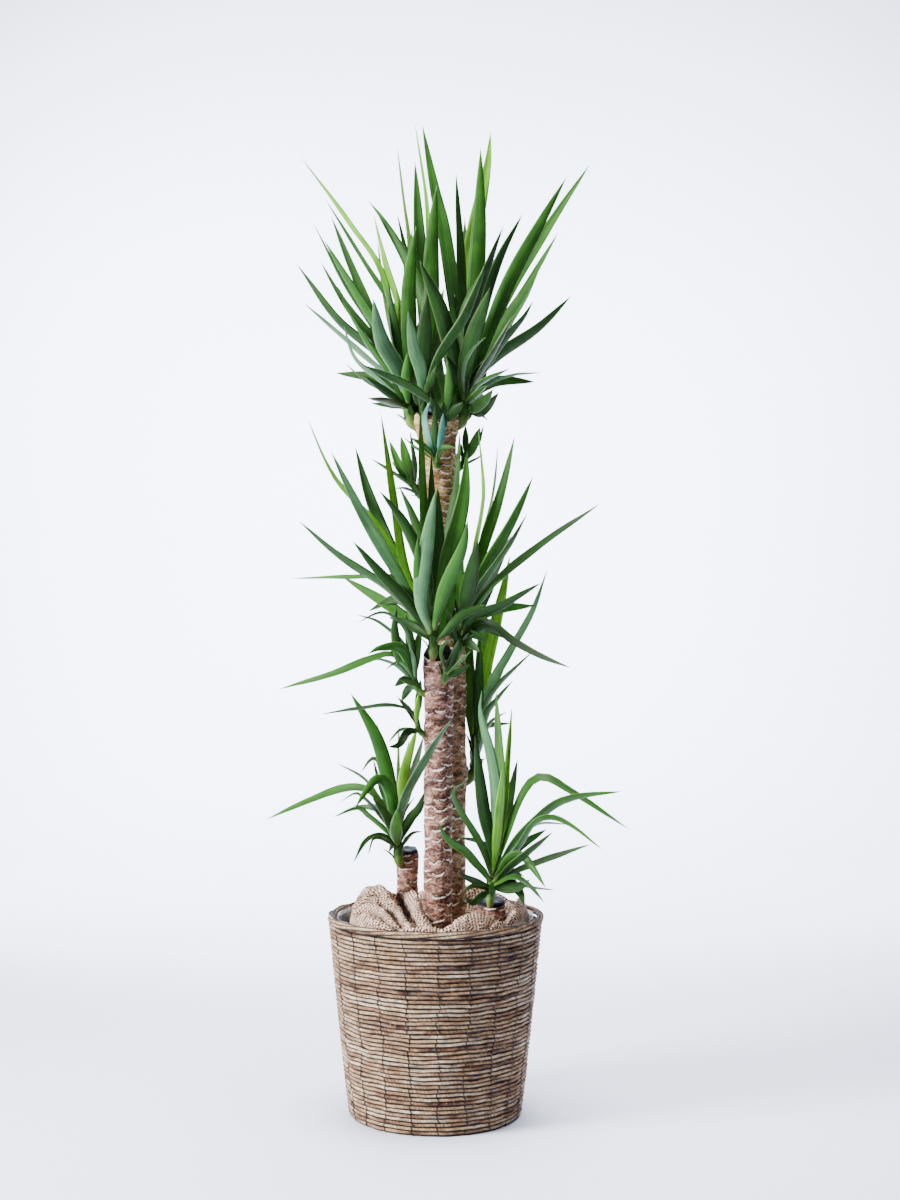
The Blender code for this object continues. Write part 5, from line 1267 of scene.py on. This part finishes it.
def foldRise(fold, x, y):
    best = 0.0
    width, *path = fold
    for (ax, ay, ah), (bx, by, bh) in zip(path, path[1:]):
        dx, dy = bx - ax, by - ay
        share = max(0.0, min(1.0, ((x - ax) * dx + (y - ay) * dy) / (dx * dx + dy * dy)))
        apart = math.hypot(x - ax - dx * share, y - ay - dy * share) / width
        if apart < 1.9:
            best = max(best, (ah + (bh - ah) * share) * math.exp(-apart ** 2.6 * 1.1))
    return best


def clothHeight(x, y):
    # the ground is warped a little, so that folds wander
    wx = x + 0.5 * noise.noise(Vector((x * 0.35, y * 0.35, 3.0)))
    wy = y + 0.5 * noise.noise(Vector((x * 0.35, y * 0.35, 9.0)))
    height = cloth["level"]
    for atX, atY, wide, deep, rise in cloth["mounds"]:
        height += rise * math.exp(-((wx - atX) / wide) ** 2 - ((wy - atY) / deep) ** 2)
    folds = sorted((foldRise(fold, wx, wy) for fold in cloth["folds"]), reverse=True)
    height += folds[0] + 0.35 * folds[1] - max(foldRise(valley, wx, wy) for valley in cloth["valleys"])
    # creases between the folds
    spot = Vector((wx * 0.42, wy * 0.42, 1.0))
    crease = (1 - 2.2 * abs(noise.noise(spot))) * 0.42 + (1 - 2.2 * abs(noise.noise(spot * 2.3))) * 0.22
    crease += 0.10 * noise.noise(spot * 5.5) + 0.05 * noise.noise(spot * 11.0)
    # wrinkles run down towards the front, leaning to the middle from both sides
    lean = -0.47 * math.tanh(wx / 3)
    slant = Vector(((wx * 0.88 + wy * lean) * 0.8, (wx * lean - wy * 0.88) * 0.2, 4.0))
    crease += (1 - 2.6 * abs(noise.noise(slant))) * cloth["wrinkle"] * (1 if wx < 0 else 0.4)
    return height + crease * (1 - 0.35 * min(1.0, folds[0]))


def hollows(heights, side, reach):  # how far each place lies under its neighbours' mean, in centimetres
    mean = heights
    for step in (1, side):
        spread = []
        for k in range(len(mean)):
            i = k // step % side
            low, high = max(-reach, -i), min(reach, side - 1 - i)
            spots = [mean[k + n * step] for n in (low, low // 2, 0, high // 2, high)]
            spread.append(sum(spots) / len(spots))
        mean = spread
    return [m - h for m, h in zip(mean, heights)]


def runsOf(points, side, step, nextLine):  # length along the cloth from its middle, in one direction
    run = [0.0] * len(points)
    for first in range(0, side * nextLine, nextLine):
        line = range(first, first + side * step, step)
        for a in line[1:]:
            run[a] = run[a - step] + (points[a] - points[a - step]).length
        middle = run[line[side // 2]]
        for a in line:
            run[a] -= middle
    return run


def makeCloth():
    cells = cloth["cells"]
    side = cells + 1
    stems = []
    for cane in canes.values():
        path = caneCourse(cane)
        middle = min(path, key=lambda spot: abs(spot.z / cm - cloth["level"]))
        if path[-1].z / cm > cloth["level"]:
            low, high = [pair for pair in zip(path, path[1:]) if pair[1].z / cm >= cloth["level"]][0]
            middle = low.lerp(high, (cloth["level"] * cm - low.z) / (high.z - low.z))
        radius = caneRadius(cane, cloth["level"]) + cloth["clearance"]
        stems.append((middle.x / cm, middle.y / cm, radius))
    points, deep, near = [], [], []
    for j in range(side):
        for i in range(side):
            u, v = 2 * i / cells - 1, 2 * j / cells - 1  # the square's cells are filled into a disc
            x, y = u * math.sqrt(1 - v * v / 2), v * math.sqrt(1 - u * u / 2)
            reach = cloth["radius"] - cloth["tuck"] * max(0.0, -x) ** 4
            share = math.hypot(x, y)
            x, y = x * reach, y * reach
            inset, shade = 0.0, 0.0
            for atX, atY, radius in stems:
                apart = math.hypot(x - atX, y - atY)
                shade = max(shade, 1 - smoothStep(0.0, cloth["shadeReach"], apart - radius))
                if apart < radius:
                    inset = max(inset, radius - apart)
                    x, y = atX + (x - atX) / apart * radius, atY + (y - atY) / apart * radius
            height = clothHeight(x, y) - cloth["edgeDrop"] * smoothStep(0.93, 1.0, share)
            points.append(Vector((x, y, height)) * cm)
            deep.append(inset)
            near.append(shade)
    heights = [point.z / cm for point in points]
    # painted shade: darker in the cloth's hollows and close to the canes
    sunk = []
    for small, large, shade in zip(hollows(heights, side, 4), hollows(heights, side, 12), near):
        depth = max(0.0, small / cloth["hollowDeep"]) * 0.7 + max(0.0, large / cloth["hollowDeep"]) * 0.3
        sunk.append(min(cloth["deepest"], depth + 0.7 * shade))
    faces = []
    for j in range(cells):
        for i in range(cells):
            a = j * side + i
            corners = (a, a + 1, a + 1 + side, a + side)
            depths = [deep[corner] for corner in corners]
            if min(depths) <= 0.0 or max(depths) <= cloth["overhang"]:
                faces.append(corners)
    # weave runs by the cloth's own length, not the plan's
    uvs = list(zip(runsOf(points, side, 1, side), runsOf(points, side, side, 1)))
    mesh = meshOf("burlap_cloth", points, faces, uvs, {"sunk": sunk})
    holder = placed("burlap_cloth", mesh)
    solid = holder.modifiers.new("Thickness", "SOLIDIFY")
    solid.thickness = cloth["thick"]
    solid.offset = -1.0
    mesh = baked(holder)
    piece = newPiece("burlap_cloth", mesh, juteMaterial(), ["burlap"])
    flatArea = sum(face.area for face in mesh.polygons) / 2
    print("burlap surface on one side", round(flatArea, 4))
    makeFibres("burlap_loose_fibres", piece, clothFibres)


def juteMaterial():
    # Plain-woven jute sacking: thick and thin yarns over and under, with dark openings between them
    made, make, place = newMaterial("Jute burlap, plain weave", {
        "Roughness": 0.92, "Specular IOR Level": 0.15})
    uv = make("UVMap", uv_map="UVMap")
    shake = make("TexNoise", {"Vector": place, "Scale": 60.0, "Detail": 2.0}, out=1)
    drift = make("VectorMath:SCALE", make("VectorMath:SUBTRACT", shake, {1: (0.5, 0.5, 0.5)}), {
        "Scale": 1.1 * mm})
    spot = make("SeparateXYZ", make("VectorMath:ADD", uv, drift)).node.outputs
    turns = math.pi / cloth["weave"]
    crossing = [make("Math:COSINE", make("*", spot[axis], turns)) for axis in (0, 1)]
    warp, weft = (make("*", each, each) for each in crossing)  # cosine squared, 1 on a yarn
    over = make("*", *crossing)
    warpHigh = make("*", warp, make("*+", over, 0.5, 0.5))
    weftHigh = make("*", weft, make("*+", over, -0.5, 0.5))
    relief = make("Math:MAXIMUM", warpHigh, weftHigh)
    gap = make("MapRange", make("Math:MAXIMUM", warp, weft), 0.77, 0.44, 0.0, 1.0)
    patch = make("TexNoise", {"Vector": place, "Scale": 55.0, "Detail": 3.0, "Roughness": 0.6})
    # slubs: each yarn is thick and thin along its length
    slubs = []
    for first, second, apart in ((300.0, 40.0, 0.0), (40.0, 300.0, 5.0)):
        yarnSpot = make("CombineXYZ", make("*", spot[0], first),
                        make("*", spot[1], second), apart)
        slubs.append(make("TexNoise", {"Vector": yarnSpot, "Scale": 1.0}))
    slub = make("MapRange", make("Math:MAXIMUM", *slubs), 0.46, 0.66, 0.66, 1.15)
    yarn = make("ValToRGB", patch, stops=[(0.35, "#a87b5c"), (0.5, "#d6a587"), (0.65, "#f3cbb0")])
    # painted highlight on the yarns' crests
    crestHighlight = make("MapRange", relief, 0.45, 0.9, 0.0, 0.85)
    lit = make("Mix", {"Factor": crestHighlight, 6: yarn, 7: "#fff3ea"}, **mixing)
    slubbed = make("VectorMath:SCALE", lit, {"Scale": slub})
    # painted shade in the weave's hollows and in the openings between the yarns
    weaveShade = make("MapRange", relief, 0.45, 0.1, 0.0, 0.4)
    dim = make("Math:MAXIMUM", gap, weaveShade)
    woven = make("Mix", {"Factor": dim, 6: slubbed, 7: "#352212"}, **mixing)
    # little light reaches the folds' hollows and the cloth close to the canes
    sunk = make("*", make("Attribute", out=2, attribute_name="sunk"), 0.8)
    tint = make("Mix", {"Factor": sunk, 6: woven, 7: "#2a180d"}, **mixing)
    crumple = make("TexNoise", {"Vector": place, "Scale": 85.0, "Detail": 3.0, "Roughness": 0.6,
                                "Distortion": 0.6})
    crumpled = make("Bump", {"Height": crumple, "Distance": 5.0 * mm, "Strength": 0.8})
    return feed(made, {"Base Color": tint, "Normal": make("Bump", {
        "Height": relief, "Distance": 1.2 * mm, "Strength": 0.9, "Normal": crumpled})})


makeCloth()
print("burlap ready")
